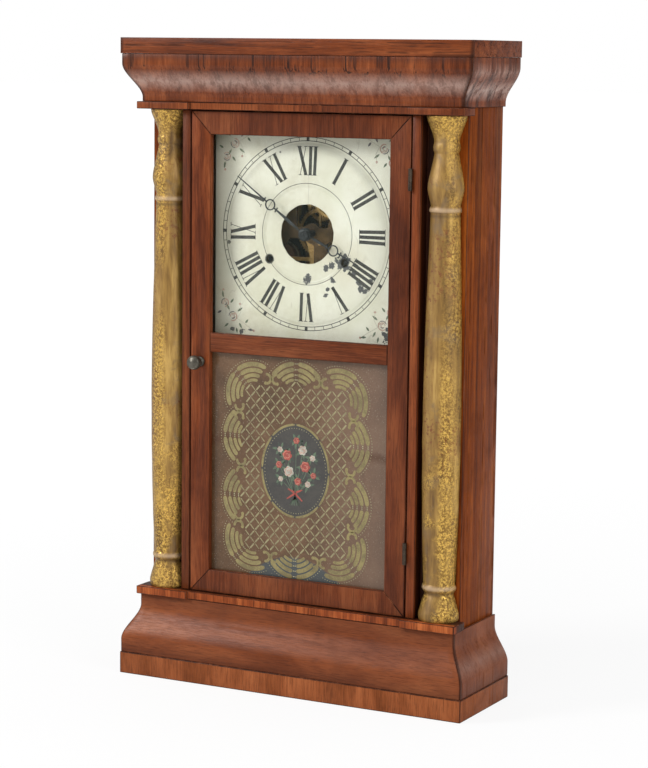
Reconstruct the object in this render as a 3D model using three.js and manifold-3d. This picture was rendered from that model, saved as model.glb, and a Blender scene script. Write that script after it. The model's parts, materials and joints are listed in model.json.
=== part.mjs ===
// Column and cornice shelf clock, 30-hour weight-driven time and strike movement.
// Millimetres, +Z up, front towards -Y, origin at the middle of the base on the ground.
import * as THREE from 'three'
import { mergeVertices } from 'three/addons/utils/BufferGeometryUtils.js'
import Module from 'manifold-3d'

const wasm = await Module()
wasm.setup()

// ---- driving dimensions, case
const clearance = 0.3 // between touching pieces
const sideThickness = 12
const backThickness = 8
const stileThickness = 12
const plinthHeight = 22
const baseOgeeHeight = 59
const baseOgeeFoot = 13 // upright band under the curve
const baseOgeeNeck = 11 // upright band over the curve
const cornerOverhang = 18 // plinth and top board beyond the sides
const plinthReach = 10.6 // plinth in front of the column shelf
const topReach = 10.2 // top board in front of the capital shelf
const shelfThickness = 8
const shelfLip = 2.1 // column shelf in front of the column foot
const shelfSideOverhang = 5
const capitalThickness = 7.2
const capitalLip = 0.9 // capital shelf in front of the column head
const capitalSideOverhang = 6
const blockRecess = 3.8 // centre of both shelves set back behind the end blocks
const blockLap = 2 // end blocks of both shelves in front of the jambs
const corniceOgeeHeight = 46.4
const corniceCrown = 9.6 // upright band over the curve
const corniceNeck = 3.8 // upright band under the curve
const topThickness = 15.4
const ogeeFillet = 0.9 // ogee set back under the plinth and top board lines
const ogeeDepth = 15.4
const ogeeSteps = 10
const bottomLift = 10
const bottomThickness = 10
const gluedLap = 1 // how far pieces that are one solid run into each other

// ---- door
const doorThickness = 16
const doorProud = 14.5 // door and jamb faces in front of the case front
const doorGapBelow = 0.7
const doorGapAbove = 1.1
const doorGapSide = 1.6
const jambWidth = 9
const stileWidth = 21.4
const railTopHeight = 22.4
const railMiddleHeight = 19.1
const railBottomHeight = 22.5
const tabletOpeningHeight = 217.8
const rebateWidth = 6
const lipThickness = 5.5 // frame in front of the glass
const glassThickness = 2
const glassLap = 5.1 // glass edge in the rebate
const stopWidth = 7 // lip of the front stiles that the door closes on

const knobBelowRail = 10
const knobRadius = 7.2
const knobReach = 17
const shaftRadius = 1.9
const shaftPlay = 0.5
const latchLength = 14
const latchWidth = 6
const latchThickness = 1.5
const mortiseDepth = 9
const mortiseHeight = 34

const hingeLength = 20.8
const hingeInset = 59 // door top edge to the middle of the upper hinge
const lowerHingeInset = 61.8
const knuckleGap = 0.37 // between two knuckles, each side
const barrelRadius = 1.9
const hingePinRadius = 0.8
const leafThickness = 0.4
const leafGap = 0.25 // hinge leaf to the wood beside it
const leafDepth = 11
const barrelGap = 0.1 // hinge barrel in front of the wood

// ---- half columns
const columnBuryDepth = 2 // turning axis in front of the flat back
const columnBaseRadius = 20
const columnFlareRadius = 19.6
const columnNeckRadius = 12.3
const columnVaseRadius = 17.8
const shaftTopRadius = 14.4
const shaftBellyRadius = 18.8
const shaftFootRadius = 16
const columnGap = 0.9 // column foot to the jamb, and to the case corner
const ringStep = 1.1 // how far the turned rings stand out
const ringHeight = 4
const columnFootHeight = 28
const columnCapHeight = 90
const columnSides = 18

// ---- dial and hands
const dialSize = 204
const dialThickness = 0.8
const dialSetback = 2.5 // dial face behind the back of the door
const dialLapSide = 4.8 // dial hidden behind each door stile
const dialLapBelow = 2.4 // and behind the middle rail
const dialLapAbove = 8.2 // and behind the top rail
const dialHoleRadius = 28.75
const windingSpread = 41 // each winding arbor from the clock's middle line
const windingDrop = 25.6 // winding arbors below the dial centre
const windingHoleRadius = 3.8
const handThickness = 0.8
const hourHandReach = 63.3
const hourRingAt = 33.3
const minuteHandReach = 91.7
const minuteRingAt = 46.5
const handRingRadius = 5.6
const handRingWidth = 1.2
const handHubRadius = 6.5
const hourHandClear = 2.5 // hour hand in front of the dial
const handSpacing = 2.2
const handNarrow = 1.6 // hand blade at the hub
const handBroad = 3.2 // and at its widest
const handTip = 0.7
const handBar = 1.1 // short bars either side of the ring
const handBarAway = 2.6 // from the ring, and half their length
const colletReach = 1.6 // minute hand's collet in front of the hand
const centreTip = 0.6 // centre arbor in front of the collet
const shownHour = 3.85 // time shown at rest
const shownMinute = 51

// ---- movement
const plateWidth = 124
const plateTop = 66 // above the dial centre
const plateBottom = 78 // below the dial centre
const plateThickness = 1.5
const plateSpacing = 32 // clear space between the plates
const plateBehindDial = 9.7
const movementRailWidth = 12 // rails on the back board that the movement is screwed to
const pillarRadius = 3.2
const pillarInset = 5
const bossRadius = 10 // of the front plate round the centre arbor
const escapeBoss = 5
const arborRadius = 1.5
const centreArborRadius = 1.2
const pivotPlay = 0.45
const pivotReach = 0.8 // arbor ends in front of the front plate
const escapeBehindPlate = 1.8
const centreBehindEscape = 12.5
const thirdBehindCentre = 9
const greatBehindThird = 2
const strikeBehindPlate = 5.5
const pinBehindStrike = 15
const warningBehindPin = 6
const drumGap = 1.2 // between a drum and its great wheel
const greatTeeth = 60
const greatPinionLeaves = 8
const wheelTeeth = 54
const pinionLeaves = 6
const centreModule = 0.9
const thirdModule = 0.7
const thirdTeeth = 48
const pinWheelModule = 0.8
const warningModule = 0.7
const warningTeeth = 48
const wheelThickness = 1.4
const pinionLength = 5
const thirdAngle = 95.2 // direction of the third arbor from the centre arbor
const escapeAngle = 12.6 // direction of the escape arbor from the third arbor
const pinWheelAngle = 95 // direction of the pin wheel from the strike great wheel
const warningAngle = 57
const flyAngle = 155
const escapeTeeth = 50
const escapeRadius = 17
const escapeToothHeight = 2.4
const escapeRimWidth = 2.2
const escapeHub = 4
const escapeSpoke = 1.8
const escapeThickness = 1
const vergeHeight = 46 // verge pivot above the dial centre
const palletSpan = 7 // escape teeth between the pallets
const palletGap = 0.9
const palletLength = 2.6
const palletTip = 1
const palletRoot = 1.6
const palletReach = 0.4 // pallets wider than the escape wheel, each side
const vergeHubRadius = 3
const crutchGap = 3.6 // crutch behind the back plate
const crutchThickness = 1.2
const forkHeight = 3
const forkPlay = 1 // fork past the rod, front and back
const suspensionHeight = 62 // above the dial centre
const crutchReach = 40
const pendulumLength = 248
const pendulumGap = 7.5 // pendulum behind the back plate
const rodRadius = 1.2
const bobRadius = 27
const bobThickness = 15
const bobClearance = 4.5 // bob to the back board
const bobBorePlay = 0.5
const bobEdge = 76 // degrees of arc from the middle of the lens to its rim
const suspensionLength = 12
const suspensionHalf = 0.25 // half the thickness of the spring ribbon
const suspensionRibbon = 6 // its width
const suspensionHead = 1.5 // radius of the cross pin that it hangs by
const ratingNutRadius = 4
const ratingNutHeight = 3.5
const rodTail = 5 // rod below the bob
const cockWidth = 10
const cockNotchHalf = 1.9
const cockRise = 4 // cock above the pendulum's pin
const cockDrop = 6 // and below it
const motionModule = 0.8
const pipePlay = 0.4
const pipeWall = 0.6
const motionGap = 0.6 // hour wheel behind the front plate
const motionStep = 2.6 // minute wheel behind the hour wheel
const cannonLength = 2 // cannon pinion past the front of the minute wheel
const cannonLeaves = 8
const minuteWheelTeeth = 24
const minutePinionLeaves = 6
const hourWheelTeeth = 24
const minuteWheelAngle = -50
const drumRadius = 14
const drumLength = 18
const windingArborRadius = 2.5
const windingSquare = 4
const drumFlange = 2.4
const squareGap = 1.5 // winding square behind the dial
const countWheelRadius = 15
const countBlows = 78
const countAt = [16, 12] // from the plate's left edge, and above the dial centre
const countSlot = 1.2 // degrees, half the width of a slot
const countSlotDepth = 3
const countThickness = 1.2
const countGap = 2.2 // disc in front of the plate
const arborBoss = 0.8 // arbor past what it carries
const hammerPivot = [-16, -67] // from the dial centre
const hammerHeadAt = [-70, -100]
const hammerHeadRadius = 5
const hammerHeadLength = 14
const gongTurns = 3.5
const gongInner = 8
const gongOuter = 26
const gongWire = 1.5 // radius
const gongGap = 1.2 // hammer face to gong at rest
const flyWidth = 18
const flyThickness = 0.8
const flyGap = 2 // fly behind the front plate
const flyLength = 14
const gongPostRadius = 3.2
const gongFoot = 26 // width and height of its iron base
const gongFootThickness = 6
const armWidth = 2.4 // hammer arm and crutch
const armThickness = 2
const armGap = 1.6 // hammer arm behind the back plate
const tailLength = 9
const tailGap = 6 // hammer tail in front of the back plate
const gongBehindPlate = 5.2
const gongPostFront = 2.5 // post in front of the coil's middle

// ---- cords, pulleys and weights
const cordRadius = 1
const pulleyRadius = 16 // at the bottom of the groove
const pulleyFlange = 2.5
const pulleyWidth = 7
const pulleyPlay = 0.6 // pulley to its hanger
const pulleyDrop = 21.5 // pulley centre under the top board
const hangerThickness = 1.4
const hangerWidth = 6
const hangerFoot = 4 // hanger below the axle's middle
const axleRadius = 1.2
const axlePlay = 0.5
const flangeEdge = 1 // thickness of the pulley's flange at its rim
const cordBehindPlate = 17
const cordDrift = 2.6 // how far one turn moves along the drum
const drumTurn = 0.9 // share of a turn that is wound on at rest
const partitionThickness = 6
const partitionMargin = 1 // partition beyond the dial's edge
const partitionDrop = 6 // partition top under the pulley
const weightWidth = 44
const weightDepth = 36
const weightHeight = 125
const weightFloorGap = 16
const weightGap = 3.3 // weight to the partition
const weightChamfer = 3
const weightHookHeight = 14
const weightHookRadius = 2.2

// ---- derived places
const doorWidth = dialSize - 2 * dialLapSide + 2 * stileWidth
const upperOpeningHeight = dialSize - dialLapBelow - dialLapAbove
const doorHalf = doorWidth / 2
const sightHalf = doorHalf - stileWidth
const jambInner = doorHalf + doorGapSide
const jambOuter = jambInner + jambWidth
const stopInner = jambInner - stopWidth
const caseHalf = jambOuter + 2 * (columnBaseRadius + columnGap)
const plinthHalf = caseHalf + cornerOverhang
const innerHalf = caseHalf - sideThickness - clearance
const partitionOuter = dialSize / 2 + partitionMargin
const partitionInner = partitionOuter - partitionThickness
const plateHalf = plateWidth / 2

// The movement and its pendulum set the depth, and the columns set how far the shelves reach.
const doorBackInCase = doorThickness - doorProud
const dialDepth = dialSetback + dialThickness + plateBehindDial
const movementDepth = plateSpacing + 2 * plateThickness
const pendulumDepth = pendulumGap + bobThickness / 2 + bobClearance
const caseDepth = doorBackInCase + dialDepth + movementDepth + pendulumDepth + backThickness
const shelfOverhang = clearance + columnBuryDepth + columnBaseRadius + shelfLip
const capitalOverhang = clearance + columnBuryDepth + columnFlareRadius + capitalLip
const plinthOverhang = shelfOverhang + plinthReach
const topOverhang = capitalOverhang + topReach
const back = (caseDepth + plinthOverhang) / 2
const caseFront = back - caseDepth
const plinthFront = caseFront - plinthOverhang
const topFront = caseFront - topOverhang
const stileBack = caseFront + stileThickness
const doorFront = caseFront - doorProud
const doorBack = doorFront + doorThickness
const glassFront = doorFront + lipThickness + clearance
const dialFace = doorBack + dialSetback
const dialBack = dialFace + dialThickness
const plateFront = dialBack + plateBehindDial
const frontPlateBack = plateFront + plateThickness
const backPlateFront = frontPlateBack + plateSpacing
const backPlateBack = backPlateFront + plateThickness
const pendulumY = backPlateBack + pendulumGap
const backBoardFront = back - backThickness
const interiorFront = stileBack + clearance
const interiorBack = backBoardFront - clearance
const cordY = frontPlateBack + cordBehindPlate
const hourHandY = dialFace - hourHandClear
const minuteHandY = hourHandY - handThickness - handSpacing
const gongY = backPlateBack + gongBehindPlate

const baseOgeeTop = plinthHeight + baseOgeeHeight
const shelfTop = baseOgeeTop + shelfThickness
const doorBottom = shelfTop + doorGapBelow
const tabletBottom = doorBottom + railBottomHeight
const tabletTop = tabletBottom + tabletOpeningHeight
const upperBottom = tabletTop + railMiddleHeight
const upperTop = upperBottom + upperOpeningHeight
const doorTop = upperTop + railTopHeight
const capitalBottom = doorTop + doorGapAbove
const capitalTop = capitalBottom + capitalThickness
const corniceTop = capitalTop + corniceOgeeHeight
const totalHeight = corniceTop + topThickness
const centreZ = upperBottom - dialLapBelow + dialSize / 2
const knobX = doorHalf - stileWidth / 2
const knobZ = tabletTop - knobBelowRail
const pulleyZ = corniceTop - pulleyDrop

// ---- materials
const finish = (color, roughness, metalness = 0) => {
  return new THREE.MeshStandardMaterial({ color, roughness, metalness })
}
const mahogany = finish('#6b3a26', 0.4)
const darkMahogany = finish('#552d20', 0.45)
const pine = finish('#9a7450', 0.7)
const gilt = finish('#a88a4c', 0.45, 0.4)
const brass = finish('#a5803f', 0.35, 0.9)
const steel = finish('#5a5a5c', 0.4, 0.9)
const iron = finish('#2f2e2d', 0.6, 0.5)
const painted = finish('#dfdcc8', 0.5)
const clearGlass = finish('#cfd8d4', 0.1)
const tabletPaint = finish('#5d4636', 0.3)
const pewter = finish('#55524f', 0.4, 0.6)
const cordFibre = finish('#8d8068', 0.9)
const lead = finish('#8b7a45', 0.45, 0.7)

const clock = new THREE.Group()
function add(name, geometry, material) {
  const mesh = new THREE.Mesh(geometry, material.clone())
  mesh.name = name
  clock.add(mesh)
  return mesh
}

// ---- solids: joining and cutting
function merged(geometry) {
  const bare = geometry.clone()
  bare.deleteAttribute('normal')
  bare.deleteAttribute('uv')
  return mergeVertices(bare, 1e-4)
}

function toSolid(geometry) {
  const shared = merged(geometry)
  return new wasm.Manifold(new wasm.Mesh({
    numProp: 3,
    vertProperties: new Float32Array(shared.attributes.position.array),
    triVerts: new Uint32Array(shared.index.array)
  }))
}

function toGeometry(solid) {
  const mesh = solid.getMesh()
  const geometry = new THREE.BufferGeometry()
  geometry.setAttribute('position', new THREE.BufferAttribute(mesh.vertProperties, 3))
  geometry.setIndex(new THREE.BufferAttribute(mesh.triVerts, 1))
  return geometry
}

function join(first, ...others) {
  let solid = toSolid(first)
  for (const other of others) solid = solid.add(toSolid(other))
  return toGeometry(solid)
}

function cut(first, ...others) {
  let solid = toSolid(first)
  for (const other of others) solid = solid.subtract(toSolid(other))
  return toGeometry(solid)
}

// ---- shapes
function block([x0, x1], [y0, y1], [z0, z1]) {
  const geometry = new THREE.BoxGeometry(x1 - x0, y1 - y0, z1 - z0)
  return geometry.translate((x0 + x1) / 2, (y0 + y1) / 2, (z0 + z1) / 2)
}

// A shape drawn as seen from the front, x and z, made solid from y0 back to y1.
function slab(shape, y0, y1) {
  const geometry = new THREE.ExtrudeGeometry(shape, { depth: y1 - y0, bevelEnabled: false, curveSegments: 12 })
  return geometry.rotateX(Math.PI / 2).translate(0, y1, 0)
}

// A shape drawn in plan, x and y, made solid from z0 up to z1.
function board(points, z0, z1) {
  const shape = new THREE.Shape(points.map(([x, y]) => new THREE.Vector2(x, y)))
  return new THREE.ExtrudeGeometry(shape, { depth: z1 - z0, bevelEnabled: false }).translate(0, 0, z0)
}

function polygon(points) {
  return new THREE.Shape(points.map(([x, y]) => new THREE.Vector2(x, y)))
}

function ringPoints(x, z, radius, sides, turn = 0) {
  return Array.from({ length: sides }, (_, i) => {
    const angle = turn + 2 * Math.PI * i / sides
    return [x + radius * Math.cos(angle), z + radius * Math.sin(angle)]
  })
}

// A round bar along Y.
function bar([x, z], radius, y0, y1, sides = 10) {
  return slab(polygon(ringPoints(x, z, radius, sides)), y0, y1)
}

// A straight flat strip between two points of the front view.
function strip([xa, za], [xb, zb], widthA, widthB, y0, y1) {
  const length = Math.hypot(xb - xa, zb - za)
  const nx = -(zb - za) / length
  const nz = (xb - xa) / length
  const corners = [
    [xa - nx * widthA / 2, za - nz * widthA / 2],
    [xb - nx * widthB / 2, zb - nz * widthB / 2],
    [xb + nx * widthB / 2, zb + nz * widthB / 2],
    [xa + nx * widthA / 2, za + nz * widthA / 2]
  ]
  return slab(polygon(corners), y0, y1)
}

function polar([x, z], degrees, distance) {
  const angle = THREE.MathUtils.degToRad(degrees)
  return [x + distance * Math.cos(angle), z + distance * Math.sin(angle)]
}

// A turned piece on a vertical axis; profile is [radius, z] from bottom to top.
function turned(profile, sides) {
  const points = [[0, profile[0][1]], ...profile, [0, profile[profile.length - 1][1]]]
  const geometry = new THREE.LatheGeometry(points.map(([r, z]) => new THREE.Vector2(r, z)), sides)
  return geometry.rotateX(Math.PI / 2)
}

// A moulding or frame member whose section [u, v] runs from startAt(u) to endAt(u), so that
// its ends are square or mitred. place turns (u, v, along) into x, y, z.
function member(section, startAt, endAt, place) {
  const contour = section.map(([u, v]) => new THREE.Vector2(u, v))
  if (THREE.ShapeUtils.isClockWise(contour)) contour.reverse()
  const faces = THREE.ShapeUtils.triangulateShape(contour, [])
  const count = contour.length
  const positions = []
  for (const end of [startAt, endAt]) {
    for (const { x, y } of contour) positions.push(...place(x, y, end(x)))
  }
  const index = []
  for (const [a, b, c] of faces) {
    index.push(a, c, b)
    index.push(count + a, count + b, count + c)
  }
  for (let i = 0; i < count; i++) {
    const j = (i + 1) % count
    index.push(i, j, count + j)
    index.push(i, count + j, count + i)
  }
  const geometry = new THREE.BufferGeometry()
  geometry.setAttribute('position', new THREE.Float32BufferAttribute(positions, 3))
  geometry.setIndex(index)
  return facingOut(geometry)
}

// Turns every face round when the closed surface was wound inwards.
function facingOut(geometry) {
  const p = geometry.attributes.position
  const index = geometry.index.array
  const corner = i => new THREE.Vector3().fromBufferAttribute(p, index[i])
  let volume = 0
  for (let i = 0; i < index.length; i += 3) {
    volume += corner(i).dot(corner(i + 1).cross(corner(i + 2)))
  }
  if (volume < 0) {
    const flipped = []
    for (let i = 0; i < index.length; i += 3) flipped.push(index[i], index[i + 2], index[i + 1])
    geometry.setIndex(flipped)
  }
  return geometry
}

// ---- case carcass
function mirrored(geometry) {
  return facingOut(merged(geometry).scale(-1, 1, 1))
}

function addPair(name, right, material) {
  add(`${name}_left`, mirrored(right), material)
  add(`${name}_right`, right, material)
}

const sideRight = block([caseHalf - sideThickness, caseHalf], [caseFront, back], [0, corniceTop - clearance])
addPair('case_side', sideRight, mahogany)

const backPanel = block([-innerHalf, innerHalf], [backBoardFront, back], [clearance, corniceTop - clearance])
const movementRails = [-1, 1].map(side => {
  const middle = side * (plateHalf - movementRailWidth / 2)
  return block(
    [middle - movementRailWidth / 2, middle + movementRailWidth / 2],
    [backPlateBack + clearance, backBoardFront + gluedLap],
    [centreZ - plateBottom, centreZ + plateTop]
  )
})
add('back_board', join(backPanel, ...movementRails), pine)

add('bottom_board', block(
  [-innerHalf, innerHalf], [interiorFront, interiorBack], [bottomLift, bottomLift + bottomThickness]
), pine)

// Front stile with its jamb strip and the lip that the door closes on; the left one also has
// the mortise that the latch turns into.
const stileTop = corniceTop - clearance
function frontStile() {
  const main = block([jambInner, innerHalf], [caseFront, stileBack], [clearance, stileTop])
  const lip = block(
    [stopInner, jambInner + gluedLap], [doorBack + clearance, stileBack], [clearance, stileTop]
  )
  const jamb = block(
    [jambInner, jambOuter], [doorFront, caseFront + gluedLap], [shelfTop + clearance, capitalBottom - clearance]
  )
  return join(main, lip, jamb)
}
const mortise = block(
  [stopInner - gluedLap, jambInner + mortiseDepth],
  [doorBack - gluedLap, stileBack + gluedLap],
  [knobZ - mortiseHeight / 2, knobZ + mortiseHeight / 2]
)
add('front_stile_right', frontStile(), mahogany)
add('front_stile_left', mirrored(cut(frontStile(), mortise)), mahogany)

const partitionTop = pulleyZ - pulleyRadius - pulleyFlange - partitionDrop
addPair('weight_partition', block(
  [partitionInner, partitionOuter], [dialBack + clearance, interiorBack],
  [bottomLift + bottomThickness + clearance, partitionTop]
), pine)

// ---- top board with the pulley hangers
const wrapRadius = pulleyRadius + cordRadius + clearance
const fallX = partitionOuter + weightGap + weightWidth / 2
const pulleyOut = fallX - wrapRadius
function pulleyHanger(side) {
  const x = side * pulleyOut
  const gap = pulleyWidth / 2 + pulleyPlay
  const legDepths = [[-gap - hangerThickness, -gap], [gap, gap + hangerThickness]]
  const legs = legDepths.map(([front, rear]) => block(
    [x - hangerWidth / 2, x + hangerWidth / 2], [cordY + front, cordY + rear],
    [pulleyZ - hangerFoot, corniceTop + gluedLap]
  ))
  return [...legs, bar([x, pulleyZ], axleRadius, cordY - gap - gluedLap, cordY + gap + gluedLap)]
}
const topPlank = block([-plinthHalf, plinthHalf], [topFront, back], [corniceTop, totalHeight])
add('top_board', join(topPlank, ...pulleyHanger(-1), ...pulleyHanger(1)), mahogany)

// ---- ogee mouldings
// Inset of a cyma curve from its wide end to its narrow end, as [inset, z] points.
function ogee(zWide, zNarrow) {
  return Array.from({ length: ogeeSteps + 1 }, (_, i) => {
    const t = i / ogeeSteps
    return [ogeeFillet + (ogeeDepth - ogeeFillet) * t * t * (3 - 2 * t), zWide + (zNarrow - zWide) * t]
  })
}

function addOgeeSet(name, frontPlane, zBottom, zTop, curve, material) {
  const edges = [[curve[0][0], zBottom], ...curve, [curve[curve.length - 1][0], zTop]]
  const deep = caseFront - clearance - frontPlane
  const shallow = cornerOverhang - clearance
  const front = [...edges, [deep, zTop], [deep, zBottom]]
  const side = [...edges, [shallow, zTop], [shallow, zBottom]]
  const half = clearance / 2
  const end = u => plinthHalf - u - half
  const frontPiece = member(front, u => -end(u), end, (u, v, along) => [along, frontPlane + u, v])
  add(`${name}_front`, frontPiece, material)
  const returnPiece = member(
    side, u => frontPlane + u + half, () => back, (u, v, along) => [plinthHalf - u, along, v]
  )
  addPair(name, returnPiece, material)
}

const baseCurve = ogee(plinthHeight + baseOgeeFoot, baseOgeeTop - baseOgeeNeck)
addOgeeSet('base_ogee', plinthFront, plinthHeight + clearance, baseOgeeTop - clearance, baseCurve, mahogany)
const corniceCurve = ogee(corniceTop - corniceCrown, capitalTop + corniceNeck).reverse()
addOgeeSet('cornice_ogee', topFront, capitalTop + clearance, corniceTop - clearance, corniceCurve, mahogany)

// ---- plinth and the two shelves
const plinthInner = caseHalf + clearance
add('plinth', board([
  [-plinthHalf, back], [-plinthHalf, plinthFront], [plinthHalf, plinthFront], [plinthHalf, back],
  [plinthInner, back], [plinthInner, caseFront - clearance],
  [-plinthInner, caseFront - clearance], [-plinthInner, back]
], 0, plinthHeight), darkMahogany)

// Shelf under or over the columns: end blocks, a recessed middle and a tongue between the stiles.
function columnShelf(half, front, z0, z1) {
  const blockInner = jambInner - blockLap
  const rear = caseFront - clearance
  const tongue = stopInner - clearance
  return board([
    [-half, rear], [-half, front], [-blockInner, front], [-blockInner, front + blockRecess],
    [blockInner, front + blockRecess], [blockInner, front], [half, front], [half, rear],
    [tongue, rear], [tongue, dialFace - clearance], [-tongue, dialFace - clearance], [-tongue, rear]
  ], z0, z1)
}
add('column_shelf', columnShelf(
  caseHalf + shelfSideOverhang, caseFront - shelfOverhang, baseOgeeTop, shelfTop
), mahogany)
add('capital_shelf', columnShelf(
  caseHalf + capitalSideOverhang, caseFront - capitalOverhang, capitalBottom, capitalTop
), mahogany)

// ---- half columns
const columnX = (jambOuter + caseHalf) / 2
const columnBack = caseFront - clearance
const columnAxis = columnBack - columnBuryDepth
function halfColumn() {
  const foot = shelfTop + clearance
  const head = capitalBottom - clearance
  const footRing = foot + columnFootHeight
  const shaftFoot = footRing + 3 * ringHeight
  const shaftHead = head - columnCapHeight
  // Each turning is a radius and the share of the foot or cap height that it stands at.
  const bell = [
    [columnBaseRadius * 0.98, 0], [columnBaseRadius, 0.14], [columnBaseRadius * 0.97, 0.32],
    [columnBaseRadius * 0.87, 0.57], [columnBaseRadius * 0.73, 0.93]
  ].map(([radius, share]) => [radius, foot + columnFootHeight * share])
  const ring = [
    [shaftFootRadius - ringStep / 2, footRing], [shaftFootRadius + ringStep, footRing + ringHeight],
    [shaftFootRadius - ringStep / 2, footRing + 2 * ringHeight]
  ]
  const shaft = Array.from({ length: 9 }, (_, i) => {
    const t = i / 8
    const chord = shaftFootRadius + (shaftTopRadius - shaftFootRadius) * t
    const swell = (shaftBellyRadius - (shaftFootRadius + shaftTopRadius) / 2) * 4 * t * (1 - t)
    return [chord + swell * (1.25 - 0.5 * t), shaftFoot + (shaftHead - shaftFoot) * t]
  })
  const vase = [
    [shaftTopRadius + ringStep, 0.028], [shaftTopRadius + ringStep, 0.056], [shaftTopRadius, 0.078],
    [columnVaseRadius * 0.91, 0.156], [columnVaseRadius, 0.244], [columnVaseRadius * 0.95, 0.344],
    [columnNeckRadius * 1.16, 0.478], [columnNeckRadius * 0.96, 0.611], [columnNeckRadius * 1.04, 0.644],
    [columnNeckRadius * 1.04, 0.7], [columnNeckRadius, 0.733], [columnNeckRadius * 1.1, 0.8],
    [columnFlareRadius * 0.85, 0.889], [columnFlareRadius * 0.985, 0.956], [columnFlareRadius, 1]
  ].map(([radius, share]) => [radius, shaftHead + columnCapHeight * share])
  const whole = turned([...bell, ...ring, ...shaft, ...vase], columnSides).translate(columnX, columnAxis, 0)
  const reach = 2 * columnBaseRadius
  const behind = block([columnX - reach, columnX + reach], [columnBack, columnBack + reach], [0, totalHeight])
  return cut(whole, behind)
}
addPair('half_column', halfColumn(), gilt)

// ---- door
// Section across a frame member: u from the outer edge inwards, v from the front back.
const frameSection = [
  [0, doorFront], [stileWidth, doorFront], [stileWidth, doorFront + lipThickness],
  [stileWidth - rebateWidth, doorFront + lipThickness], [stileWidth - rebateWidth, doorBack], [0, doorBack]
]
const mitreGap = clearance / 2
// The rails are a little taller than the stiles are wide, so each mitre runs corner to corner.
function mitredRail(height, placeRail) {
  const section = frameSection.map(([u, v]) => [u * height / stileWidth, v])
  const end = u => doorHalf - mitreGap - u * stileWidth / height
  return member(section, u => -end(u), end, placeRail)
}
function doorStile() {
  const lower = u => doorBottom + mitreGap + u * railBottomHeight / stileWidth
  const upper = u => doorTop - mitreGap - u * railTopHeight / stileWidth
  return member(frameSection, lower, upper, (u, v, along) => [doorHalf - u, v, along])
}
const shaftBore = bar([knobX, knobZ], shaftRadius + shaftPlay, doorFront - 1, doorBack + 1, 12)
add('door_stile_right', doorStile(), mahogany)
add('door_stile_left', mirrored(cut(doorStile(), shaftBore)), mahogany)
add('door_rail_top', mitredRail(railTopHeight, (u, v, along) => [along, v, doorTop - u]), mahogany)
add('door_rail_bottom', mitredRail(railBottomHeight, (u, v, along) => [along, v, doorBottom + u]), mahogany)
const railHalfLength = sightHalf - clearance
add('door_rail_middle', join(
  block([-railHalfLength, railHalfLength], [doorFront, doorFront + lipThickness], [tabletTop, upperBottom]),
  block(
    [-railHalfLength, railHalfLength], [doorFront + lipThickness - gluedLap, doorBack],
    [tabletTop + rebateWidth, upperBottom - rebateWidth]
  )
), mahogany)

const glassWidth = [-sightHalf - glassLap, sightHalf + glassLap]
const glassDepth = [glassFront, glassFront + glassThickness]
const upperGlass = block(glassWidth, glassDepth, [upperBottom - glassLap, upperTop + glassLap])
add('door_glass_upper', upperGlass, clearGlass)
const lowerGlass = block(glassWidth, glassDepth, [tabletBottom - glassLap, tabletTop + glassLap])
add('door_tablet_lower', lowerGlass, tabletPaint)

// Turned knob on a shaft through the stile, with the latch hook standing up behind it.
function doorKnob() {
  const profile = [
    [0.67, 0], [0.67, 0.094], [0.45, 0.19], [0.45, 0.42], [0.86, 0.54], [1, 0.7], [0.9, 0.86], [0.5, 1]
  ].map(([radiusShare, reachShare]) => [knobRadius * radiusShare, knobReach * reachShare])
  const head = turned(profile, 16).rotateX(Math.PI / 2).translate(-knobX, doorFront - clearance, knobZ)
  const latchFront = doorBack + clearance
  const shaft = bar([-knobX, knobZ], shaftRadius, doorFront - gluedLap, latchFront + latchThickness / 2)
  const latch = block(
    [-knobX - latchWidth / 2, -knobX + latchWidth / 2], [latchFront, latchFront + latchThickness],
    [knobZ - latchWidth / 2, knobZ + latchLength]
  )
  return join(head, shaft, latch)
}
add('door_knob', doorKnob(), pewter)

// Butt hinges: the barrel stands just in front of the seam between door and jamb.
const hingeX = doorHalf + doorGapSide / 2
const hingeY = doorFront - barrelRadius - barrelGap
const knuckleSides = 12
function barrel(radius, from, to) {
  return board(ringPoints(hingeX, hingeY, radius, knuckleSides), from, to)
}
function addHinge(name, z) {
  const low = z - hingeLength / 2
  const high = z + hingeLength / 2
  const third = hingeLength / 3
  const leafAt = x => block([x, x + leafThickness], [hingeY, doorFront + leafDepth], [low, high])
  // The door leaf has the middle knuckle, bored for the pin.
  const doorLeaf = join(
    leafAt(doorHalf + leafGap), barrel(barrelRadius, low + third + knuckleGap, high - third - knuckleGap)
  )
  const pinBore = barrel(hingePinRadius + clearance, low - clearance, high + clearance)
  const roomBelow = barrel(barrelRadius + clearance, low - clearance, low + third + clearance)
  const roomAbove = barrel(barrelRadius + clearance, high - third - clearance, high + clearance)
  add(`${name}_hinge_door_leaf`, cut(doorLeaf, pinBore, roomBelow, roomAbove), steel)
  // The frame leaf has the outer knuckles and the pin peened into them.
  const frameLeaf = join(
    leafAt(jambInner - leafGap - leafThickness), barrel(barrelRadius, low, low + third),
    barrel(barrelRadius, high - third, high)
  )
  const room = barrel(barrelRadius + clearance, low + third, high - third)
  const pin = barrel(hingePinRadius, low + gluedLap, high - gluedLap)
  add(`${name}_hinge_frame_leaf`, join(cut(frameLeaf, room), pin), steel)
}
addHinge('upper', doorTop - hingeInset)
addHinge('lower', doorBottom + lowerHingeInset)

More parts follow.
